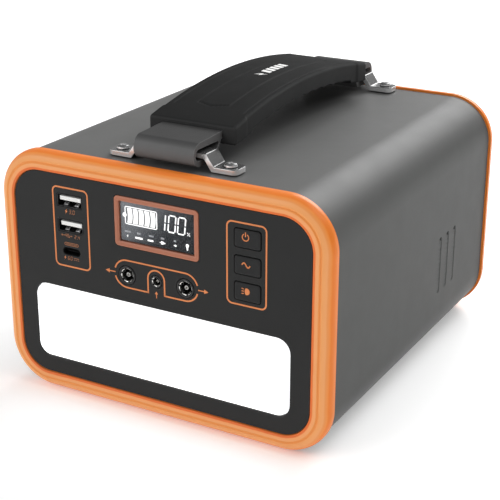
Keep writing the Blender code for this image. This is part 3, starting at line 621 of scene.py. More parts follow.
def make_brushed(name, grey, rough, stretch=(1.0, 0.1, 1.0), top=None, metal=1.0, worn=0.92):
    """Metal with drawn scratches and bright worn edges; top is a darker tone painted on its upward faces
    as shade.
    """
    g = surface(name, grey, rough, metal=metal, mottle=0.06, grain=1500.0, depth=0.006,
                wear=(worn, worn, worn), wear_reach=0.35, wear_most=0.8, rough_swing=0.07)
    g.relief(g.noise(900.0, 4.0, 0.6, stretch), 0.012, 0.5)
    # Painted shade: flat upward faces, away from the edges, are darkened to the top colour.
    if top:
        upward_shade = g.math("MULTIPLY", g.facing((0, 0, 1)), g.math("SUBTRACT", 1.0, g.edges(0.3)))
        g.tint(g.spread(upward_shade, 0.25, 0.55), top)
    return g.material


def make_board():
    """Solder mask with copper traces showing through as a fine pattern."""
    g = surface("board_green", (0.015, 0.13, 0.055), 0.35, mottle=0.15, grain=1200.0, depth=0.02)
    tracks = g.texture("ShaderNodeTexBrick", 160.0)
    tracks.inputs["Mortar Size"].default_value = 0.05
    g.tint(g.spread(tracks.outputs["Fac"], 0.0, 1.0, 0.0, 0.55), (0.06, 0.30, 0.12))
    g.relief(tracks.outputs["Fac"], 0.04, 0.5)
    return g.material


def make_wrap():
    """Shrink-wrapped cells: blue sleeve with fine wrinkles along the cell."""
    g = surface("cell_sleeve", (0.025, 0.13, 0.36), 0.30, mottle=0.12, grain=1400.0, depth=0.02)
    g.relief(g.noise(380.0, 4.0, 0.6, (1.0, 1.0, 0.12)), 0.08, 0.5)
    return g.material


LOOKS = {
    "orange": make_orange(),
    "shell": make_shell_grey(),
    "panel": plain("panel_charcoal", (0.0160, 0.0162, 0.0160), 0.50, specular=0.22, mottle=0.06,
                   grain=2900.0, depth=0.035, wear=(0.10, 0.10, 0.10), wear_reach=0.35, wear_most=0.4),
    "button": plain("button_charcoal", (0.0150, 0.0153, 0.0156), 0.55, specular=0.22, mottle=0.06,
                    grain=3300.0, depth=0.04, wear=(0.09, 0.09, 0.09), wear_reach=0.4, wear_most=0.4),
    "print": plain("orange_print", (0.72, 0.235, 0.080), 0.5, specular=0.3, depth=0.01),
    "print_dim": plain("dull_orange_print", (0.34, 0.135, 0.062), 0.55, specular=0.25, mottle=0.12,
                       depth=0.01),
    "lamp": make_lamp_white(),
    "white": plain("white_moulding", (0.86, 0.86, 0.84), 0.38, mottle=0.03, grain=2400.0, depth=0.02),
    "terracotta": plain("terracotta_satin", (0.40, 0.132, 0.066), 0.40, mottle=0.05, grain=2800.0,
                        depth=0.02, wear=(0.72, 0.36, 0.26), wear_most=0.6),
    "window": make_window(),
    "lcd": make_lcd(),
    "segment": make_segments("segment_white", (1.0, 1.0, 1.0), 0.95),
    "segment_dim": make_segments("segment_dim", (0.55, 0.57, 0.60), 0.25),
    "steel": make_brushed("socket_steel", (0.52, 0.52, 0.53), 0.30),
    # dark_steel: socket steel made near-black
    "dark_steel": make_brushed("dark_socket_steel", (0.05, 0.05, 0.052), 0.45, worn=0.12),
    "nickel": make_brushed("nickel_plate", (0.72, 0.71, 0.68), 0.22),
    "pin": make_brushed("pin_nickel", (0.66, 0.65, 0.62), 0.34),
    # chrome: top is painted shade on its upward faces
    "chrome": make_brushed("bright_steel", (0.94, 0.94, 0.94), 0.24, (0.12, 1.0, 1.0),
                           top=(0.13, 0.13, 0.13), metal=0.55),
    "aluminium": make_brushed("aluminium_extrusion", (0.70, 0.71, 0.72), 0.32, (1.0, 0.08, 1.0)),
    "black": plain("black_moulding", (0.010, 0.010, 0.0105), 0.33, specular=0.45, mottle=0.08,
                   depth=0.02, wear=(0.12, 0.12, 0.12), wear_reach=0.3),
    # void: near-black for the socket insert, and painted shade on the USB-C steel can
    "void": plain("socket_black", (0.003, 0.003, 0.003), 0.7, specular=0.1, grain=2400.0, depth=0.02),
    # grip and strap: the last colour is painted shade on their upward faces
    "grip": make_rubber("grip_rubber", (0.042, 0.0424, 0.0424), 0.70, 0.04, (0.0150, 0.0152, 0.0152)),
    "strap": make_rubber("strap_rubber", (0.128, 0.128, 0.128), 0.64, 0.08, (0.054, 0.054, 0.054), True),
    "foot": make_rubber("foot_rubber", (0.018, 0.018, 0.018), 0.65, 0.25),
    "mark": plain("mark_white", (0.90, 0.90, 0.89), 0.5, mottle=0.03, depth=0.01),
    "board": make_board(),
    "cells": make_wrap(),
    "holder": plain("holder_moulding", (0.035, 0.035, 0.036), 0.45, grain=2000.0),
    "ferrite": plain("ferrite_core", (0.045, 0.045, 0.05), 0.6, grain=1500.0, depth=0.06),
    "red_lead": plain("red_lead", (0.45, 0.015, 0.012), 0.42, grain=2000.0),
    "black_lead": plain("black_lead", (0.012, 0.012, 0.012), 0.42, grain=2000.0),
}

# The finish of each CAD node that stays in view or inside, by the record's material slot;
# a slot that is missing here has the look of its own name.
SLOT_LOOKS = {
    "circuit_board": "board", "white_plastic": "white", "black_plastic": "black",
    "cell_wrap": "cells", "holder_plastic": "holder", "socket_steel": "steel",
    "grey_shell": "shell", "orange_plastic": "orange", "charcoal_plastic": "panel",
    "soft_rubber": "foot", "strap_rubber": "strap", "bright_steel": "chrome",
    "clear_window": "window", "diffuser": "lamp",
}


# ---- body shell and bezels


def make_shell():
    """Sheet body with flared vent slots; the slots are backed by a ribbed liner."""
    inner = -SHELL_INSET - SHELL_WALL
    lip = 0.35
    y0, y1 = SHELL.low.y, SHELL.high.y
    profile = [
        (-SHELL_INSET - lip, y0), (-SHELL_INSET, y0 + lip), (-SHELL_INSET, y1 - lip),
        (-SHELL_INSET - lip, y1), (inner, y1), (inner, y0),
    ]
    shell = swept("body_shell", profile, HALF_X, HALF_Z, CORNER, (0, BODY_Z))
    cuts = []
    for side in (-1, 1):
        for y in VENT_Y:
            rings = []
            for off, grow in ((1.0, 1.0), (-0.5, 0.0), (-6.0, 0.0)):
                half_y, half_z = VENT_HALF_Y + grow, VENT_HALF_Z + grow
                outline = rounded(half_y, half_z, half_y, 6, (y, VENT_Z))
                rings.append([(side * (SHELL.high.x + off), u, v) for u, v in outline])
            cuts.append(built(add_loft, "vent", rings))
        for x in (-SCREW_X, SCREW_X):
            hole = circle((x, GRIP.y + side * SCREW_Y), 1.65)
            cuts.append(built(add_solid, "screw_hole", hole, "Z", 110, 118))
    combine(shell, *cuts)
    piece(shell, "body", "shell", "grey_shell", "shell", smooth=30)


def make_vent_part(name, outlines, ends, rows, half_y, half_z, shift=0.0):
    """Solids behind the slots, cut through by rows of fine gaps."""
    bm = bmesh.new()
    for outline in outlines:
        add_solid(bm, outline, "X", *ends)
    made = finish_mesh(name, bm)
    cuts = bmesh.new()
    for y in VENT_Y:
        for row in rows:
            z = VENT_Z + row * VENT_PITCH + shift
            low = (ends[0] - 1, y - half_y, z - half_z)
            add_box(cuts, low, (ends[1] + 1, y + half_y, z + half_z))
    combine(made, finish_mesh("vent_cuts", cuts))
    return made


def make_vent_liners():
    """Behind each set of slots, a liner with fine louvres that keeps dust and fingers out."""
    inside = SHELL.high.x - SHELL_WALL - 0.3
    tops = range(-5, 6)
    gaps = [row + 0.5 for row in tops[:-1]]
    drop = -0.85
    plate = [rounded(13.5, 19.0, 2.0, 6, (VENT_Y[1], VENT_Z))]
    half_y, half_z = VENT_HALF_Y - 0.05, VENT_HALF_Z - 0.9
    fills = [rounded(half_y, half_z, VENT_HALF_Y - 0.1, 6, (y, VENT_Z + drop)) for y in VENT_Y]
    for name, side in (("left", -1), ("right", 1)):
        ends = sorted((side * (inside - 1.2), side * inside))
        liner = make_vent_part("vent_liner_" + name, plate, ends, tops, 1.0, 0.5)
        soften(liner, 0.15, 2)
        piece(liner, "body", "shell", "grey_shell")
        ends = sorted((side * (inside - 0.2), side * (SHELL.high.x - 0.3)))
        blades = make_vent_part("vent_blades_" + name, fills, ends, gaps, 0.9, 0.12, drop)
        piece(blades, "body", "shell", "grey_shell", smooth=30)


def bezel_section(side):
    """Section of a bezel: inner lip, flat rim, fine groove, crowned band and rounded edge."""
    face = FACE_Y
    back = face - 6.5
    edge = 5.2
    profile = [(0.0, back)]
    for step in range(17):
        angle = math.pi / 32 * step
        outset = -edge * (1 - math.cos(angle))
        if outset > -4.0:
            profile.append((outset, face - edge + edge * math.sin(angle)))
    behind_face = (
        (-4.25, 0.12), (-4.5, 0.26), (-4.95, 0.26), (-5.2, 0.05), (-5.45, 0.0), (-7.9, 0.0),
        (-8.3, 0.12), (-8.5, 0.4), (-8.5, 2.8), (-11.5, 2.8), (-11.5, 5.1), (-5.0, 5.1),
        (-5.0, 11.5), (-3.3, 11.5), (-3.3, 6.5),
    )
    profile += [(outset, face - depth) for outset, depth in behind_face]
    return [(outset, side * y) for outset, y in profile]


def make_bezels():
    for name, side in (("front", -1), ("rear", 1)):
        profile = bezel_section(side)
        bezel = swept(name + "_trim", profile, HALF_X, HALF_Z, CORNER, (0, BODY_Z))
        piece(bezel, "body", "orange", "orange_plastic", name + "_bezel", smooth=24)


def make_feet():
    """Round pads with a dished sole."""
    sole = (
        (0.0, 0.55), (0.2, 0.2), (0.6, 0.0), (1.8, 0.0), (2.1, 0.35), (3.2, 0.35), (3.5, 0.0),
        (4.6, 0.0), (4.9, 0.4),
    )
    for corner in CORNERS:
        foot = Extent("foot_" + corner)
        profile = [(0.0, foot.high.z), (foot.half_x, foot.high.z)]
        profile += [(foot.half_x - inset, z) for inset, z in sole] + [(0.0, 0.4)]
        pad = turned("pad_" + corner, profile, (foot.x, foot.y, 0), "Z", 40)
        piece(pad, "body", "foot", "soft_rubber", "foot_" + corner)


# ---- front panel


def hole_cutter(half_x, half_z, radius, centre, ends, flare, face=PANEL_Y):
    """A cutter through a panel, a little wider at the face where the hole's edge is eased."""
    inward = 1 if ends[1] > ends[0] else -1
    stops = ((ends[0], flare), (face, flare), (face + inward * flare, 0.0), (ends[1], 0.0))
    rings = [(y, half_x + grow, half_z + grow, radius + grow, *centre) for y, grow in stops]
    return stepped("hole", rings, "Y", 8)


def make_front_panel():
    outline = rounded(PANEL.high.x, PANEL.half_z, PANEL_CORNER, 16, (0, BODY_Z))
    panel = built(add_solid, "control_panel", outline, "Y", PANEL_Y, PANEL.high.y)
    holes = [(65.35, 18.15, 6.5, LAMP.spot, 0.25)]
    holes.append((DISPLAY.half_x + 0.2, DISPLAY.half_z + 0.2, 2.1, DISPLAY.spot, 0.12))
    for name in SOCKETS:
        shell = Extent(name + "_shell")
        radius = 0.9 if "usb_a" in name else shell.half_z + 0.15
        holes.append((shell.half_x + 0.2, shell.half_z + 0.2, radius, shell.spot, 0.2))
    for name in JACKS:
        jack = Extent(name + "_jack")
        holes.append((*[jack.half_x + 0.2] * 3, jack.spot, 0.15))
    for name in BUTTONS:
        spot = Extent(name + "_button").spot
        holes.append((BUTTON_HALF[0] + 0.3, BUTTON_HALF[1] + 0.3, 1.3, spot, 0.2))
    ends = (PANEL_Y - 2, PANEL.high.y + 2)
    combine(panel, *[hole_cutter(*hole[:4], ends, hole[4]) for hole in holes])
    piece(panel, "body", "panel", "charcoal_plastic", "front_panel", smooth=30)


def make_lamp():
    """Milky window with a softly rounded rim, and its flange behind the panel."""
    low, high = LAMP.low, LAMP.high
    half_x, half_z = 65.05, 17.85
    rings = []
    rim = 0.8
    for step in range(5):
        angle = math.pi / 8 * step
        inset = rim * (1 - math.sin(angle))
        y = low.y + rim * (1 - math.cos(angle))
        rings.append((y, half_x - inset, half_z - inset, LAMP_CORNER - inset, *LAMP.spot))
    flange = high.y - 1.8
    rings.append((flange, half_x, half_z, LAMP_CORNER, *LAMP.spot))
    rings += [(y, LAMP.half_x, LAMP.half_z, 7.5, *LAMP.spot) for y in (flange, high.y)]
    lamp = stepped("lamp_window", rings, "Y", 12)
    piece(lamp, "body", "lamp", "diffuser", "lamp_diffuser", smooth=30)


def make_pane(name, node, radius, edge, look, slot):
    """A flat rounded pane as large as its CAD node, centred on the display."""
    pane = Extent(node)
    outline = rounded(pane.half_x, pane.half_z, radius, 4, DISPLAY.spot)
    obj = built(add_solid, name, outline, "Y", pane.low.y, pane.high.y)
    soften(obj, edge, 2)
    piece(obj, "body", look, slot, node)


def make_display():
    face, back = DISPLAY.low.y, DISPLAY.high.y
    profile = [
        (0.0, back), (0.0, face + 0.45), (-0.12, face + 0.15), (-0.4, face), (-1.45, face),
        (-1.75, face + 0.06), (-DISPLAY_BORDER, face + 0.35), (-DISPLAY_BORDER, back),
    ]
    bezel = swept("display_trim", profile, DISPLAY.half_x, DISPLAY.half_z, 1.9, DISPLAY.spot, 10)
    piece(bezel, "body", "terracotta", "terracotta", "display_bezel", smooth=25)
    make_pane("display_pane", "display_window", 0.6, 0.12, "window", "clear_window")
    make_pane("lcd_panel", "lcd_module", 0.8, 0.2, "lcd", "charcoal_plastic")
    make_lcd_marks()


SEGMENT_SLANT = 0.10
RIGHT_SIDE = ("upper_right", "lower_right")
RING = ("top", "bottom", "upper_left", "lower_left", *RIGHT_SIDE)
DIGITS = {
    "0": RING,
    "1": RIGHT_SIDE,
    "2": ("top", "upper_right", "middle", "lower_left", "bottom"),
    "3": ("top", "upper_right", "middle", "lower_right", "bottom"),
    "4": ("upper_left", "upper_right", "middle", "lower_right"),
    "6": ("top", "upper_left", "middle", "lower_left", "lower_right", "bottom"),
}


def add_digit(ink, digit, x, z, width, height, stroke):
    """A slanted seven-segment digit."""
    gap = stroke * 0.5
    left, right = x + gap, x + width - gap
    foot, waist, head = z, z + height / 2, z + height
    runs = {
        "top": ((left, head), (right, head)),
        "bottom": ((left, foot), (right, foot)),
        "upper_left": ((x, waist + gap), (x, head - gap)),
        "upper_right": ((x + width, waist + gap), (x + width, head - gap)),
        "lower_left": ((x, foot + gap), (x, waist - gap)),
        "lower_right": ((x + width, foot + gap), (x + width, waist - gap)),
        "middle": ((left, waist), (right, waist)),
    }
    for name in DIGITS[digit]:
        ink.line([(u + (v - z) * SEGMENT_SLANT, v) for u, v in runs[name]], stroke)


def bolt(x, z, height):
    """Outline of a small lightning flash about its middle."""
    shape = ((0.35, 1), (-0.55, -0.12), (-0.05, -0.12), (-0.35, -1), (0.55, 0.18), (0.05, 0.18))
    return [(x + u * height / 2, z + v * height / 2) for u, v in shape]


def add_battery_sign(ink):
    """Battery outline with five filled bars, its terminal on the left."""
    left, right, low, high = -15.8, 0.6, 89.8, 98.0
    middle = (low + high) / 2
    half_x, half_z = (right - left) / 2, (high - low) / 2
    ink.frame(half_x, half_z, 0.9, ((left + right) / 2, middle), 0.42)
    ink.fill(circle((left - 0.1, middle), 1.0, 16))
    shares = [step / 4 - 1 for step in range(9)]
    bows = [(0.42 * (1 - share * share) - 0.1, middle + share * (half_z - 0.75)) for share in shares]
    for index in range(5):
        x0 = -14.5 + 2.92 * index
        x1 = x0 + 2.3
        ink.fill([(x1 + bow, z) for bow, z in bows] + [(x0 + bow, z) for bow, z in bows[::-1]])


def make_lcd_marks():
    ink = Ink(LCD.low.y - 0.05, LCD.low.y + 0.05)
    add_battery_sign(ink)
    for digit, x, width in (("1", 1.2, 3.0), ("0", 5.9, 3.4), ("0", 10.6, 3.5)):
        add_digit(ink, digit, x, 90.1, width, 7.4, 0.6)
    ink.line([(15.5, 90.0), (16.7, 91.4)], 0.22)
    for spot in ((15.6, 91.2), (16.6, 90.2)):
        ink.fill(circle(spot, 0.26, 10))
    z = 84.5
    ink.fill(bolt(-14.7, z, 1.8))
    ink.fill(rounded(1.9, 0.42, 0.1, 2, (-8.9, z - 0.1)))
    ink.fill(rounded(1.5, 0.40, 0.39, 4, (-3.0, z - 0.1)))
    plug = [(1.6, 0.12), (2.3, 0.12), (2.3, 0.7), (3.1, 0.7), (4.7, 0.0)]
    plug += [(x, -rise) for x, rise in plug[-2::-1]]
    ink.fill([(x, z + rise) for x, rise in plug])
    ink.fill(circle((9.5, z), 0.48, 12))
    ink.fill([(8.6, z + 0.1), (8.6, z - 0.1), (10.2, z - 0.1), (10.2, z + 0.1)])
    ink.fill(circle((15.4, z + 1.1), 0.78, 16))
    ink.fill(rounded(0.34, 0.9, 0.15, 2, (15.4, z - 0.1)))
    ink.done("lcd_segments", "segment", "charcoal_plastic")

    ink = Ink(LCD.low.y - 0.05, LCD.low.y + 0.05)
    for x, ticks in ((-14.6, 5), (-8.9, 3), (-2.6, 4), (3.1, 3), (9.3, 2)):
        for index in range(ticks):
            ink.fill(rounded(0.17, 0.42, 0.1, 2, (x + (index - (ticks - 1) / 2) * 0.62, 86.5)))
    ink.done("lcd_captions", "segment_dim", "charcoal_plastic")


def make_usb_a(name):
    """Folded-steel socket shell, its tongue and the spring contacts on both."""
    shell, tongue = Extent(name + "_shell"), Extent(name + "_tongue")
    wall = 0.35
    lip, back = shell.low.y, shell.high.y
    profile = [
        (0.0, back), (0.0, lip + 0.15), (-0.08, lip), (-wall + 0.1, lip), (-wall, lip + 0.2),
        (-wall, back),
    ]
    can = swept(name + "_can", profile, shell.half_x, shell.half_z, 0.7, shell.spot, 6)
    piece(can, "body", "dark_steel", "socket_steel", name + "_shell")

    z = shell.z + 0.88
    front, root = tongue.low.y - 0.35, -84.5
    spot = (shell.x + 0.2, z)
    rings = [
        (front, 5.45, 0.85, 0.2, *spot), (front + 0.2, 5.6, 1.0, 0.25, *spot),
        (root, 5.6, 1.0, 0.25, *spot), (root, 5.85, 2.15, 0.3, *shell.spot),
        (tongue.high.y, 5.85, 2.15, 0.3, *shell.spot),
    ]
    piece(stepped(name + "_insert", rings), "body", "white", "white_plastic", name + "_tongue")
    bm = bmesh.new()
    for index in range(4):
        x = shell.x + (index - 1.5) * 2.5
        add_box(bm, (x - 0.5, tongue.low.y + 0.9, z - 1.2), (x + 0.5, root - 0.1, z - 0.98))
    contacts = finish_mesh(name + "_contacts", bm)
    soften(contacts, 0.05, 1)
    piece(contacts, "body", "nickel", "nickel")
    bm = bmesh.new()
    for x in (shell.x - 2.9, shell.x + 2.9):
        rings = []
        for y, lift in ((-93.6, 0.10), (-92.6, 0.75), (-91.4, 1.0), (-89.5, 0.5), (-87.0, 0.05)):
            low = shell.low.z + wall + lift
            high = low + 0.22
            rings.append([(x - 1.1, y, low), (x + 1.1, y, low), (x + 1.1, y, high), (x - 1.1, y, high)])
        add_loft(bm, rings)
    springs = finish_mesh(name + "_springs", bm)
    soften(springs, 0.04, 1)
    piece(springs, "body", "steel", "socket_steel")


def make_usb_c():
    shell, tongue = Extent("usb_c_shell"), Extent("usb_c_tongue")
    lip, back = shell.low.y, shell.high.y
    profile = [
        (0.0, back), (0.0, lip + 0.12), (-0.07, lip), (-0.23, lip), (-0.3, lip + 0.15), (-0.3, back),
    ]
    radius = shell.half_z - 0.01
    can = swept("usb_c_can", profile, shell.half_x, shell.half_z, radius, shell.spot, 10)
    # Painted shade: the steel can takes the near-black look so the opening reads dark.
    piece(can, "body", "void", "socket_steel", "usb_c_shell")
    front, root = tongue.low.y + 0.6, -89.0
    rings = [
        (front, 3.15, 0.22, 0.1, *shell.spot), (front + 0.15, 3.3, 0.35, 0.15, *shell.spot),
        (root, 3.3, 0.35, 0.15, *shell.spot), (root, 3.8, 0.95, 0.6, *shell.spot),
        (tongue.high.y, 3.8, 0.95, 0.6, *shell.spot),
    ]
    insert = stepped("usb_c_insert", rings)
    piece(insert, "body", "void", "black_plastic", "usb_c_tongue")


def make_jack(name, bore, pin):
    """Barrel jack: glossy collar, slotted spring sleeve, dark bore and centre pin."""
    jack, rod = Extent(name + "_jack"), Extent(name + "_pin")
    centre = (jack.x, 0, jack.z)
    outer = jack.half_x
    face, back = -jack.low.y, -jack.high.y
    profile = [
        (pin + 0.25, back), (outer, back), (outer, face - 0.45), (outer - 0.15, face - 0.15),
        (outer - 0.45, face), (bore + 0.85, face), (bore + 0.68, face - 0.2),
        (bore + 0.65, face - 1.2), (bore, face - 1.5), (bore, back + 3.5),
        (pin + 0.25, back + 3.5), (pin + 0.25, back),
    ]
    collar = turned(name + "_collar", profile, centre, "Y", 40)
    piece(collar, "body", "black", "black_plastic", name + "_jack")

    profile = [
        (-0.05, 5.0), (0.6, 5.0), (0.6, 0.45), (0.4, 0.25), (0.1, 0.5), (-0.05, 1.2), (-0.05, 5.0),
    ]
    profile = [(bore + out, face - depth) for out, depth in profile]
    sleeve = turned(name + "_sleeve", profile, centre, "Y", 40)
    slots = bmesh.new()
    for index in range(3):
        turn = Matrix.Rotation(math.radians(60 * index + 15), 4, "Y")
        place = Matrix.Translation((jack.x, -face + 1.4, jack.z)) @ turn
        add_block(slots, place, (bore * 3, 3.2, bore * 0.36))
    combine(sleeve, finish_mesh("sleeve_slots", slots))
    piece(sleeve, "body", "nickel", "nickel")

    tip, root = -rod.low.y, -rod.high.y
    profile = [
        (0.0, root), (pin, root), (pin, tip - 0.3), (pin * 0.86, tip - 0.05), (pin * 0.68, tip),
        (pin * 0.55, tip - 0.15), (pin * 0.5, tip - 1.8), (0.0, tip - 2.0),
    ]
    shaft = turned(name + "_centre", profile, centre, "Y", 24)
    piece(shaft, "body", "pin", "nickel", name + "_pin")


# ---- printed marks


def add_arrow(ink, x, z, direction, scale):
    """A short arrow that points along +X, -X or +Z from its middle."""
    shape = [(-2.5, 0.24), (0.5, 0.24), (0.5, 1.0), (2.6, 0.0)]
    shape = [(u * scale, v * (0.4 + 0.6 * scale)) for u, v in shape]
    outline = shape + [(u, -v) for u, v in shape[::-1][1:]]
    cos, sin = direction
    ink.fill([(x + u * cos - v * sin, z + u * sin + v * cos) for u, v in outline])


def add_number(ink, text, x, z, height):
    """A rating in plain slanted digits, starting at x."""
    for sign in text:
        if sign == ".":
            ink.fill(circle((x + 0.02, z), 0.17, 10))
            x += 0.45
        else:
            add_digit(ink, sign, x, z, height / 2, height, 0.26)
            x += height / 2 + 0.62


def add_capsule_sign(ink, x, z, half):
    """A flat oval: the outline of the reversible socket."""
    ink.frame(half, 0.72, 0.71, (x, z), 0.26, 6)
    ink.line([(x - half + 0.9, z), (x + half - 0.9, z)], 0.24)


def add_direct_sign(ink, x, z):
    """The sign for direct current: a line over three dashes."""
    ink.line([(x - 1.4, z + 0.4), (x + 1.4, z + 0.4)], 0.28)
    for index in (-1, 0, 1):
        ink.line([(x + index - 0.32, z - 0.4), (x + index + 0.32, z - 0.4)], 0.28)


def add_fork_sign(ink, x, z):
    """A branching line with a dot, a square and an arrowhead at its ends."""
    ink.line([(x - 2.6, z), (x + 2.2, z)], 0.22)
    ink.fill(circle((x - 2.7, z), 0.42, 12))
    ink.fill([(x + 2.0, z + 0.4), (x + 2.0, z - 0.4), (x + 2.9, z)])
    ink.line([(x - 1.5, z), (x - 0.8, z + 0.62), (x + 0.3, z + 0.62)], 0.2)
    ink.line([(x - 0.8, z), (x - 0.1, z - 0.62), (x + 1.0, z - 0.62)], 0.2)
    ink.fill(circle((x + 0.5, z + 0.62), 0.27, 10))
    ink.fill(rounded(0.26, 0.26, 0.03, 1, (x + 1.1, z - 0.62)))


def add_jack_lines(ink):
    """The outline round the three jacks, with a hoop over the middle one, and their arrows."""
    left, middle, right = [Extent(name + "_jack").x for name in JACKS]
    z = Extent("dc_in_jack").z + 0.65
    radius, width, stop, leg = 6.35, 0.7, 17, 4.2
    foot = z - radius
    ink.line(arc((left, z), radius, 180 - stop, 90) + arc((right, z), radius, 90, stop), width)
    ink.line(arc((left, z), radius, 180 + stop, 270) + [(middle - leg, foot)], width)
    ink.line(arc((right, z), radius, 360 - stop, 270) + [(middle + leg, foot)], width)
    hoop = [(middle - leg, foot - width / 2)] + arc((middle, z + 0.3), leg, 180, 0, 18)
    ink.line(hoop + [(middle + leg, foot - width / 2)], width)
    add_arrow(ink, left - 8.6, z - 0.1, (-1, 0), 1.0)
    add_arrow(ink, right + 8.9, z - 0.1, (1, 0), 1.0)
    add_arrow(ink, middle, z - 6.7, (0, 1), 0.62)


def make_panel_print():
    depths = (PANEL_Y - INK, PANEL_Y + 0.05)
    usb_x = Extent("usb_a_upper_shell").x
    mid_z = 82.9
    ink = Ink(*depths)
    ink.frame(9.6, 18.75, 2.6, (usb_x + 0.6, mid_z - 0.1), 0.72)
    ink.frame(9.55, 18.45, 2.7, (Extent("ac_button").x - 0.45, mid_z), 0.72)
    add_jack_lines(ink)
    ink.done("panel_print", "print")

    ink = Ink(*depths)
    ink.fill(bolt(usb_x - 1.8, 90.4, 2.5))
    ink.fill(bolt(usb_x - 3.6, 68.4, 2.0))
    ink.done("socket_flashes", "print")

    ink = Ink(*depths)
    add_number(ink, "3.0", usb_x - 0.3, 89.5, 1.8)
    add_fork_sign(ink, usb_x - 1.9, 79.0)
    add_number(ink, "2.4", usb_x + 2.1, 78.3, 1.5)
    add_capsule_sign(ink, usb_x + 0.2, 75.1, 3.8)
    add_number(ink, "60", usb_x - 2.1, 67.6, 1.65)
    add_direct_sign(ink, usb_x + 2.5, 68.4)
    ink.done("socket_captions", "print_dim")


# ---- buttons


def add_power_sign(ink, x, z):
    ink.line(arc((x, z), 1.5, 118, 422, 24), 0.42)
    ink.line([(x, z + 0.2), (x, z + 2.25)], 0.42)


def add_wave_sign(ink, x, z):
    """A sine wave, the sign for alternating current."""
    ink.line(wave(x, z, 1.9, 0.95), 0.55)


def add_lamp_sign(ink, x, z):
    """A headlamp: a D-shaped lens with three rays."""
    lens = [(x - 0.1, z - 1.5)] + arc((x + 0.1, z), 1.5, -90, 90, 12) + [(x - 0.1, z + 1.5)]
    lens += arc((x - 0.1, z), 1.5, 90, 270, 12)[1:-1]
    ink.fill([(x + (u - x) * (1.0 if u > x else 0.45), v) for u, v in lens])
    for rise in (-1.0, 0.0, 1.0):
        ink.line([(x - 1.1, z + rise), (x - 2.2, z + rise * 1.15)], 0.36)


def make_buttons():
    signs = ((add_power_sign, -0.75, 0.8), (add_wave_sign, -0.5, 0.5), (add_lamp_sign, -0.35, 0.5))
    dish = (
        (0.10, 2.6, 2.2, 0.7), (0.02, 1.5, 1.3, 0.8), (0.0, 0.75, 0.75, 0.9),
        (0.10, 0.35, 0.35, 1.0), (0.35, 0.08, 0.08, 1.05), (0.7, 0.0, 0.0, 1.1),
    )
    half_x, half_z = BUTTON_HALF
    skirt, stem = -92.7, -91.5
    for name, (sign, shift_x, shift_z) in zip(BUTTONS, signs):
        node, body = name + "_button", name + "_cap"
        box = Extent(node)
        face = box.low.y
        rings = [(face + depth, half_x - u, half_z - v, corner) for depth, u, v, corner in dish]
        rings.append((skirt, half_x, half_z, 1.1))
        rings += [(y, half_x + 1.0, half_z + 1.0, 1.4) for y in (skirt, stem)]
        rings += [(y, 1.5, 1.5, 1.5) for y in (stem, box.high.y)]
        cap = stepped(node + "_key", [(*ring, *box.spot) for ring in rings], "Y", 6)
        piece(cap, body, "button", "charcoal_plastic", node, smooth=25)
        ink = Ink(face - 0.02, face + 0.3)
        sign(ink, box.x + shift_x, box.z + shift_z)
        ink.done(node + "_sign", "print", body=body)


# ---- handle


def ease(share):
    """0 to 1 with a soft start and end."""
    share = max(0.0, min(1.0, share))
    return share * share * (3 - 2 * share)


def grip_top(y):
    return GRIP.high.z - GRIP_BOW * (y - GRIP_PEAK_Y) ** 2


def grip_under(y):
    """Lower edge of the grip: an arch scalloped for the fingers between two end lugs."""
    off = abs(y - GRIP.y)
    arch = GRIP_BOTTOM - 4.4 * (off / 50.0) ** 2
    lug = 122.0 + 1.9 * (GRIP.half_y - off) / (GRIP.half_y - GRIP_LUG_Y)
    scallop = 0.55 * ease((41 - off) / 5) * (0.5 + 0.5 * math.cos(2 * math.pi * (y - 3.6) / 9.4)) ** 2
    share = ease((GRIP_LUG_Y + 0.4 - off) / 0.8)
    return lug + (arch - scallop - lug) * share


def grip_relief(x, y, half):
    """How far the top is sunk: a line round a long panel, and a crease along each side."""
    off = abs(y - GRIP.y)
    side = 8.0 - abs(x)
    end = 50.5 - off - 0.35 * abs(x)
    inside = min(side, end)
    sunk = 0.45 * math.exp(-((inside / 0.42) ** 2)) + 0.16 * ease(0.5 - inside)
    crease = (half - 3.1 - abs(x)) / 0.5
    sunk += 0.5 * math.exp(-crease * crease) * ease((53.5 - off) / 3)
    return sunk


def grip_section(y, inset):
    """One closed section of the grip at y, drawn in by the inset."""
    off = abs(y - GRIP.y)
    half = GRIP.half_x - inset - 0.7 * ease((56.8 - off) / 1.4)
    top = grip_top(y) - inset
    under = grip_under(y) + inset
    shoulder = 1.5 - 0.4 * inset
    foot = 1.0 - 0.35 * inset
    nick = 0.3 * foot
    points = []
    count = 132
    for step in range(count + 1):
        x = (half - shoulder) * (1 - 2 * step / count)
        points.append((x, y, top - grip_relief(x, y, half)))
    edge = top - shoulder
    for step in range(1, 7):
        angle = math.radians(90 + 90 * step / 7)
        x = -half + shoulder + shoulder * math.cos(angle)
        points.append((x, y, edge + shoulder * math.sin(angle)))
    points += [(-half, y, edge), (-half, y, under + foot)]
    points += [(-half + nick, y, under + nick), (-half + foot, y, under)]
    for step in range(1, 12):
        points.append((-half + foot + (2 * half - 2 * foot) * step / 12, y, under))
    points += [(half - foot, y, under), (half - nick, y, under + nick)]
    points += [(half, y, under + foot), (half, y, edge)]
    for step in range(1, 7):
        angle = math.radians(90 * step / 7)
        x = half - shoulder + shoulder * math.cos(angle)
        points.append((x, y, edge + shoulder * math.sin(angle)))
    return points


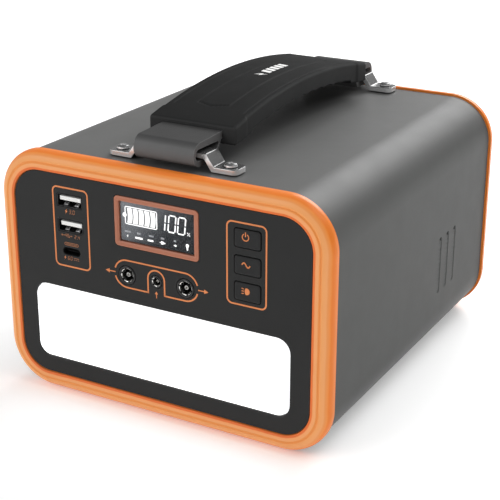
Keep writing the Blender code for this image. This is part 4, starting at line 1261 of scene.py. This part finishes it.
def make_grip():
    y0, y1 = GRIP.low.y, GRIP.high.y
    edge = 1.1
    angles = [math.pi / 12 * step for step in range(6)]
    ends = [(edge * (1 - math.cos(a)), edge * (1 - math.sin(a))) for a in angles]
    stations = [(y0 + off, inset) for off, inset in ends]
    count = 220
    for step in range(count + 1):
        stations.append((y0 + edge + (y1 - y0 - 2 * edge) * step / count, 0.0))
    stations += [(y1 - off, inset) for off, inset in ends[::-1]]
    rings = [grip_section(y, inset) for y, inset in stations]
    grip = built(add_loft, "grip_cover", rings)
    above, below = [], []
    half = STRAP_THICK / 2 + 0.3
    for step in range(25):
        y = GRIP.y + (GRIP.half_y + 4) * (step / 12 - 1)
        z = strap_middle(y)
        above.append((y, z + half))
        below.append((y, z - half))
    slot = built(add_solid, "grip_slot", above + below[::-1], "X", -15.35, 15.35)
    combine(grip, slot)
    piece(grip, "handle", "grip", "soft_rubber", "handle_grip", smooth=28)


def strap_middle(y):
    share = (y - GRIP.y) / GRIP.half_y
    return STRAP.high.z - STRAP_THICK / 2 - STRAP_RISE * share * share


def make_strap():
    """Rubber strap with a moulded loop round each bracket bar."""
    loop_y = GRIP.y - STRAP.low.y - LOOP_OUTER
    loop_z = STRAP.low.z + LOOP_OUTER
    half = STRAP_THICK / 2
    join = GRIP.half_y + 0.6
    top, bottom = [], []
    count = 40
    for step in range(count + 1):
        y = GRIP.y + join * (2 * step / count - 1)
        top.append((y, strap_middle(y) + half))
        bottom.append((y, strap_middle(y) - half))
    front = [(GRIP.y - 71.4, loop_z - LOOP_OUTER)]
    front += arc((GRIP.y - loop_y, loop_z), LOOP_OUTER, -90, -262, 22)
    front += [(GRIP.y - 76.0, 127.55), (GRIP.y - 71.5, 127.75)]
    rear = [(2 * GRIP.y - y, z) for y, z in front][::-1]
    strap = built(add_solid, "carry_strap", front + top + rear + bottom[::-1], "X", -15.0, 15.0)
    hole = [(GRIP.y - 68.6, 123.2), (GRIP.y - 72.6, loop_z - LOOP_HOLE)]
    hole += arc((GRIP.y - loop_y - 1.3, loop_z), LOOP_HOLE, -90, -270, 14)
    hole.append((GRIP.y - 69.6, 124.2))
    cuts = []
    for outline in (hole, [(2 * GRIP.y - y, z) for y, z in hole]):
        cuts.append(built(add_solid, "strap_hole", outline, "X", -20, 20))
    combine(strap, *cuts)
    soften(strap, 1.2, 4, 40)
    piece(strap, "handle", "strap", "strap_rubber", "handle_strap", smooth=35)


def make_grip_mark():
    """A generic sign on the grip: a flash and a row of charge bars, in white."""
    bm = bmesh.new()
    centre_y = 8.0
    shapes = [[(v * 0.9, centre_y - 11.0 + u) for u, v in bolt(0, 0, 6.6)]]
    for index in range(5):
        y = centre_y - 5.4 + index * 4.0
        half = 2.6
        shapes.append([(-half, y - 0.4), (half, y - 1.6), (half, y + 1.0), (-half, y + 2.2)])
    for outline in shapes:
        add_loft(bm, [[(x, y, grip_top(y) + lift) for x, y in outline] for lift in (-0.19, 0.12)])
    piece(finish_mesh("grip_mark", bm), "handle", "mark", "soft_rubber")


def bracket_outline(high):
    """Front view of the bent bar as (x, z)."""
    thick, foot_top, bar_top = 2.5, 117.5, high.z
    foot_bend, bar_bend, reach = 21.3, 17.6, high.x
    run, rise = foot_bend - bar_bend, bar_top - foot_top
    length = math.hypot(run, rise)
    low_x, low_z = foot_bend - thick * rise / length, foot_top - thick * run / length
    foot_under = low_x + (low_z - (foot_top - thick)) * run / rise
    bar_under = low_x - (bar_top - thick - low_z) * run / rise
    right = [
        (bar_under, bar_top - thick), (foot_under, foot_top - thick), (reach, foot_top - thick),
        (reach, foot_top), (foot_bend, foot_top), (bar_bend, bar_top),
    ]
    return right + [(-x, z) for x, z in right[::-1]]


def make_brackets():
    """Bent steel bars with round-cornered feet, each held by two screws."""
    for end in ("front", "rear"):
        node = "handle_bracket_" + end
        box = Extent(node)
        y, half_y = box.y, box.half_y
        screw_y = Extent("bracket_screw_" + end + "_right").y
        bar = built(add_solid, "bracket_" + end, bracket_outline(box.high), "Y", y - half_y, y + half_y)
        corner = 2.8
        cuts = []
        for side in (-1, 1):
            x = side * SCREW_X
            cuts.append(built(add_solid, "hole", circle((x, screw_y), 1.7), "Z", 113, 120))
            for edge in (-1, 1):
                tip = (side * box.high.x, y + edge * half_y)
                inner = (tip[0] - side * corner, tip[1] - edge * corner)
                turns = arc((0, 0), corner, 90, 0, 6)
                wedge = [(inner[0] + side * u, inner[1] + edge * v) for u, v in turns]
                wedge += [(tip[0] + side * 2, inner[1]), (tip[0] + side * 2, tip[1] + edge * 2)]
                wedge.append((inner[0], tip[1] + edge * 2))
                cuts.append(built(add_solid, "wedge", wedge, "Z", 113.5, 119.5))
        combine(bar, *cuts)
        soften(bar, 0.4, 3, 25)
        piece(bar, "body", "chrome", "bright_steel", node, smooth=35)
        for side in ("left", "right"):
            make_bracket_screw("bracket_screw_" + end + "_" + side)


def cross_cutter(spot, arm, width, low, high, axis="Z"):
    """The two arms of a cross-shaped recess for a screwdriver."""
    arms = []
    for half_u, half_v, grow in ((arm, width, 0.0), (width, arm, 0.01)):
        near = to_world(axis, low - grow, spot[0] - half_u, spot[1] - half_v)
        far = to_world(axis, high + grow, spot[0] + half_u, spot[1] + half_v)
        arms.append(built(add_box, "arm", near, far))
    return arms


def make_bracket_screw(node):
    screw = Extent(node)
    low, high, radius = screw.low.z, screw.high.z, screw.half_x
    head = high - 1.4
    rim = head + 0.45
    profile = [(0.0, low), (0.9, low), (1.35, low + 0.8), (1.35, head), (radius, head), (radius, rim)]
    for step in range(1, 7):
        angle = math.radians(15 * step)
        profile.append((radius * (0.35 + 0.65 * math.cos(angle)), rim + 0.95 * math.sin(angle)))
    profile.append((0.0, high))
    centre = (screw.x, screw.y, 0)
    obj = turned(node.replace("bracket_screw", "screw"), profile, centre, "Z", 36)
    combine(obj, *cross_cutter((screw.x, screw.y), 1.5, 0.33, rim, high + 1))
    piece(obj, "body", "chrome", "bright_steel", node, smooth=30)


# ---- rear panel


def make_rear_panel():
    rear = Extent("rear_panel")
    outline = rounded(rear.high.x, rear.half_z, PANEL_CORNER, 16, (0, BODY_Z))
    panel = built(add_solid, "back_panel", outline, "Y", rear.low.y, rear.high.y)
    fan = Extent("fan_frame")
    holes = [(16.5, 16.5, 3.0, Extent(node).spot, 0.2) for node in OUTLETS]
    for row in range(-4, 5):
        half = math.sqrt(23.0**2 - (row * 5.0) ** 2)
        holes.append((half, 1.3, 1.29, (fan.x, fan.z + row * 5.0), 0.25))
    holes += [(1.6, 1.6, 1.6, Extent("rear_screw_" + name).spot, 0.15) for name in REAR_SCREWS]
    ends = (rear.high.y + 2, rear.low.y - 2)
    combine(panel, *[hole_cutter(*hole[:4], ends, hole[4], -PANEL_Y) for hole in holes])
    piece(panel, "body", "panel", "charcoal_plastic", "rear_panel", smooth=30)

    ink = Ink(rear.high.y - 0.05, rear.high.y + INK)
    outlet_z = Extent(OUTLETS[0]).z
    ink.frame(62.0, 20.5, 4.0, (0, outlet_z), 0.85)
    ink.frame(26.5, 26.0, 25.9, fan.spot, 0.85)
    ink.line(wave(0, outlet_z, 4, 2.0), 0.8)
    ink.done("rear_print", "print")


def make_rear_screws():
    seat = 95.3
    for name in REAR_SCREWS:
        node = "rear_screw_" + name
        box = Extent(node)
        radius, low, high = box.half_x, box.low.y, box.high.y
        middle = (box.low + box.high) / 2
        profile = [
            (0.0, -high), (radius - 0.45, -high), (radius - 0.15, -high + 0.06), (radius, -seat),
            (1.3, -seat), (1.3, -low - 0.8), (0.8, -low), (0.0, -low),
        ]
        screw = turned("back_screw_" + name, profile, (middle.x, 0, middle.z))
        combine(screw, *cross_cutter((middle.x, middle.z), 1.2, 0.28, 95.0, 96.5, "Y"))
        piece(screw, "body", "steel", "bright_steel", node, smooth=30)


def make_outlets():
    """Two-blade sockets with an earth hole, in a softly framed square face."""
    for node in OUTLETS:
        box = Extent(node)
        low, high = box.low, box.high
        x, z = box.spot
        half = 16.2
        step = 92.7
        rings = [
            (low.y, 15.5, 15.5, 2.0, x, z), (step - 1.6, 15.5, 15.5, 2.0, x, z),
            (step - 1.6, 18.5, 18.5, 3.0, x, z), (step, 18.5, 18.5, 3.0, x, z),
            (step, half, half, 2.7, x, z), (high.y - 0.3, half, half, 2.7, x, z),
            (high.y, half - 0.3, half - 0.3, 2.5, x, z),
            (high.y, half - 2.2, half - 2.2, 2.0, x, z),
            (high.y - 0.9, half - 2.7, half - 2.7, 1.8, x, z),
        ]
        outlet = stepped(node + "_socket", rings, "Y", 6)
        slots = []
        for x0, x1, z0, z1 in ((-7.45, -5.25, -0.8, 7.2), (5.25, 7.45, -0.8, 6.2)):
            slots.append(built(add_box, "blade", (x + x0, 82, z + z0), (x + x1, 97, z + z1)))
        earth = circle((x, z - 8.0), 2.3, 20)
        slots.append(built(add_solid, "earth", earth, "Y", 82, 97))
        combine(outlet, *slots)
        soften(outlet, 0.18, 2, 50)
        piece(outlet, "body", "black", "black_plastic", node, smooth=30)


BLADE_SECTION = (
    (-1, 0.25), (-0.35, 0.55), (0.35, 0.5), (1, 0.2),
    (1, -0.2), (0.35, -0.1), (-0.35, -0.05), (-1, -0.25),
)


def make_fan():
    """Fan frame with corner bosses and struts, and a hub with seven curved blades."""
    box = Extent("fan_frame")
    low, high, half = box.low, box.high, box.half_x
    x, z = box.spot
    case = built(add_solid, "fan_case", rounded(half, half, 3.0, 6, (x, z)), "Y", low.y, high.y)
    bore = built(add_solid, "bore", circle((x, z), 23.2, 64), "Y", low.y - 2, high.y + 2)
    holes = []
    for side_x in (-1, 1):
        for side_z in (-1, 1):
            spot = (x + side_x * (half - 3.6), z + side_z * (half - 3.6))
            holes.append(built(add_solid, "fixing", circle(spot, 1.7, 20), "Y", low.y - 2, high.y + 2))
    combine(case, bore, *holes)
    struts = [built(add_solid, "hub", circle((x, z), 9.0, 40), "Y", low.y + 0.2, low.y + 2.4)]
    for index in range(3):
        turn = Matrix.Rotation(math.radians(30 + 60 * index), 4, "Y")
        place = Matrix.Translation((x, low.y + 1.25 + 0.03 * index, z)) @ turn
        struts.append(built(add_block, "strut", place, (48.0, 1.9 - 0.1 * index, 2.2)))
    combine(case, *struts, kind="UNION")
    piece(case, "body", "black", "black_plastic", "fan_frame", smooth=30)

    low, high = Extent("fan_rotor").low, Extent("fan_rotor").high
    hub_profile = [
        (0.0, -high.y + 0.1), (7.9, -high.y + 0.1), (8.9, -high.y + 0.35), (9.4, -high.y + 0.9),
        (9.4, -low.y - 0.3), (9.0, -low.y), (0.0, -low.y),
    ]
    rotor = turned("fan_wheel", hub_profile, (x, 0, z), "Y", 48)
    middle = (low.y + high.y) / 2
    blades = []
    for index in range(7):
        rings = []
        for step in range(9):
            reach = 8.7 + (22.2 - 8.7) * step / 8
            twist = math.radians(36 + 18 * step / 8)
            sweep = math.radians(-16 * (step / 8) ** 2)
            chord = 4.2 + 0.9 * math.sin(math.pi * step / 8)
            placed = []
            turn = Matrix.Rotation(2 * math.pi * index / 7 + sweep, 4, "Y")
            pitch = Matrix.Rotation(twist, 4, "X")
            for share, thick in BLADE_SECTION:
                local = pitch @ Vector((0, thick, share * chord))
                local.x += reach
                placed.append(turn @ local + Vector((x, middle + 0.5, z)))
            rings.append(placed)
        blades.append(built(add_loft, "blade", rings))
    combine(rotor, *blades, kind="UNION")
    piece(rotor, "fan_spinner", "black", "black_plastic", "fan_rotor", smooth=30)


# ---- what stays from the frame


def finish_kept_nodes():
    """Puts a full material on every CAD node that is still shown."""
    slots = {part["node"]: part["material_slot"] for part in frame["record"]["subparts"]}
    for name, obj in frame["nodes"].items():
        if obj.hide_render:
            continue
        look = LOOKS[SLOT_LOOKS.get(slots[name], slots[name])]
        for place in obj.material_slots:
            place.material = look
        if not obj.material_slots:
            obj.data.materials.append(look)


# ---- stage, light and camera


def make_stage():
    bm = bmesh.new()
    bmesh.ops.create_grid(bm, x_segments=1, y_segments=1, size=3000.0)
    floor = finish_mesh("studio_floor", bm)
    white = (1.0, 1.0, 1.0, 1.0)
    g = Graph("studio_floor", Roughness=0.9, Specular_IOR_Level=0.1, Emission_Color=white,
              Emission_Strength=0.23)
    g.to("Base Color", g.mix(g.cloud(3.0), (0.93, 0.93, 0.93), (0.95, 0.95, 0.95)))
    floor.data.materials.append(g.material)


def make_light(name, place, target, size, power, spread=math.pi):
    """A rectangular soft light that faces the target; places are in metres."""
    data = bpy.data.lights.new(name, "AREA")
    data.shape = "RECTANGLE"
    data.size, data.size_y = size
    data.energy = power
    data.spread = spread
    light = bpy.data.objects.new(name, data)
    light.location = place
    aim = Vector(target) - Vector(place)
    light.rotation_euler = aim.to_track_quat("-Z", "Y").to_euler()
    bpy.context.scene.collection.objects.link(light)


def make_world():
    world = bpy.data.worlds.new("studio")
    bpy.context.scene.world = world
    world.use_nodes = True
    tree = world.node_tree
    back = tree.nodes["Background"]
    back.inputs["Strength"].default_value = 0.54
    place = tree.nodes.new("ShaderNodeTexCoord")
    split = tree.nodes.new("ShaderNodeSeparateXYZ")
    tree.links.new(place.outputs["Generated"], split.inputs[0])
    ramp = tree.nodes.new("ShaderNodeValToRGB")
    tree.links.new(split.outputs["X"], ramp.inputs["Fac"])
    ramp.color_ramp.elements[0].color = (1.0, 1.0, 1.0, 1.0)
    ramp.color_ramp.elements[1].color = (0.12, 0.12, 0.12, 1.0)
    tree.links.new(ramp.outputs["Color"], back.inputs["Color"])


def make_camera():
    data = bpy.data.cameras.new("camera")
    data.sensor_width = 36.0
    data.lens = 92.28
    camera = bpy.data.objects.new("camera", data)
    camera.location = (0.28158, -0.51707, 0.27860)
    camera.rotation_euler = Euler([math.radians(a) for a in (68.680, -0.143, 29.233)])
    bpy.context.scene.collection.objects.link(camera)
    bpy.context.scene.camera = camera


make_camera()
make_world()
make_light("key", (-1.0, -1.5, 1.0), (0, 0, 0.05), (1.2, 1.2), 11.0)
make_light("top", (0.9, 0.1, 1.3), (0, 0, 0.1), (1.0, 1.0), 8.0)
make_light("rim", (0.11, 1.25, 0.95), (0.05, 0, 0.1), (0.9, 0.75), 18.0)
make_stage()
bpy.context.scene.view_settings.view_transform = "Standard"

make_shell()
make_vent_liners()
make_bezels()
make_feet()
make_front_panel()
make_lamp()
make_display()
for usb in SOCKETS[:2]:
    make_usb_a(usb)
make_usb_c()
for jack in ("dc_out_left", "dc_out_right"):
    make_jack(jack, 2.75, 1.05)
make_jack("dc_in", 1.8, 0.65)
make_panel_print()
make_buttons()
make_grip()
make_strap()
make_grip_mark()
make_brackets()
make_rear_panel()
make_rear_screws()
make_outlets()
make_fan()
finish_kept_nodes()
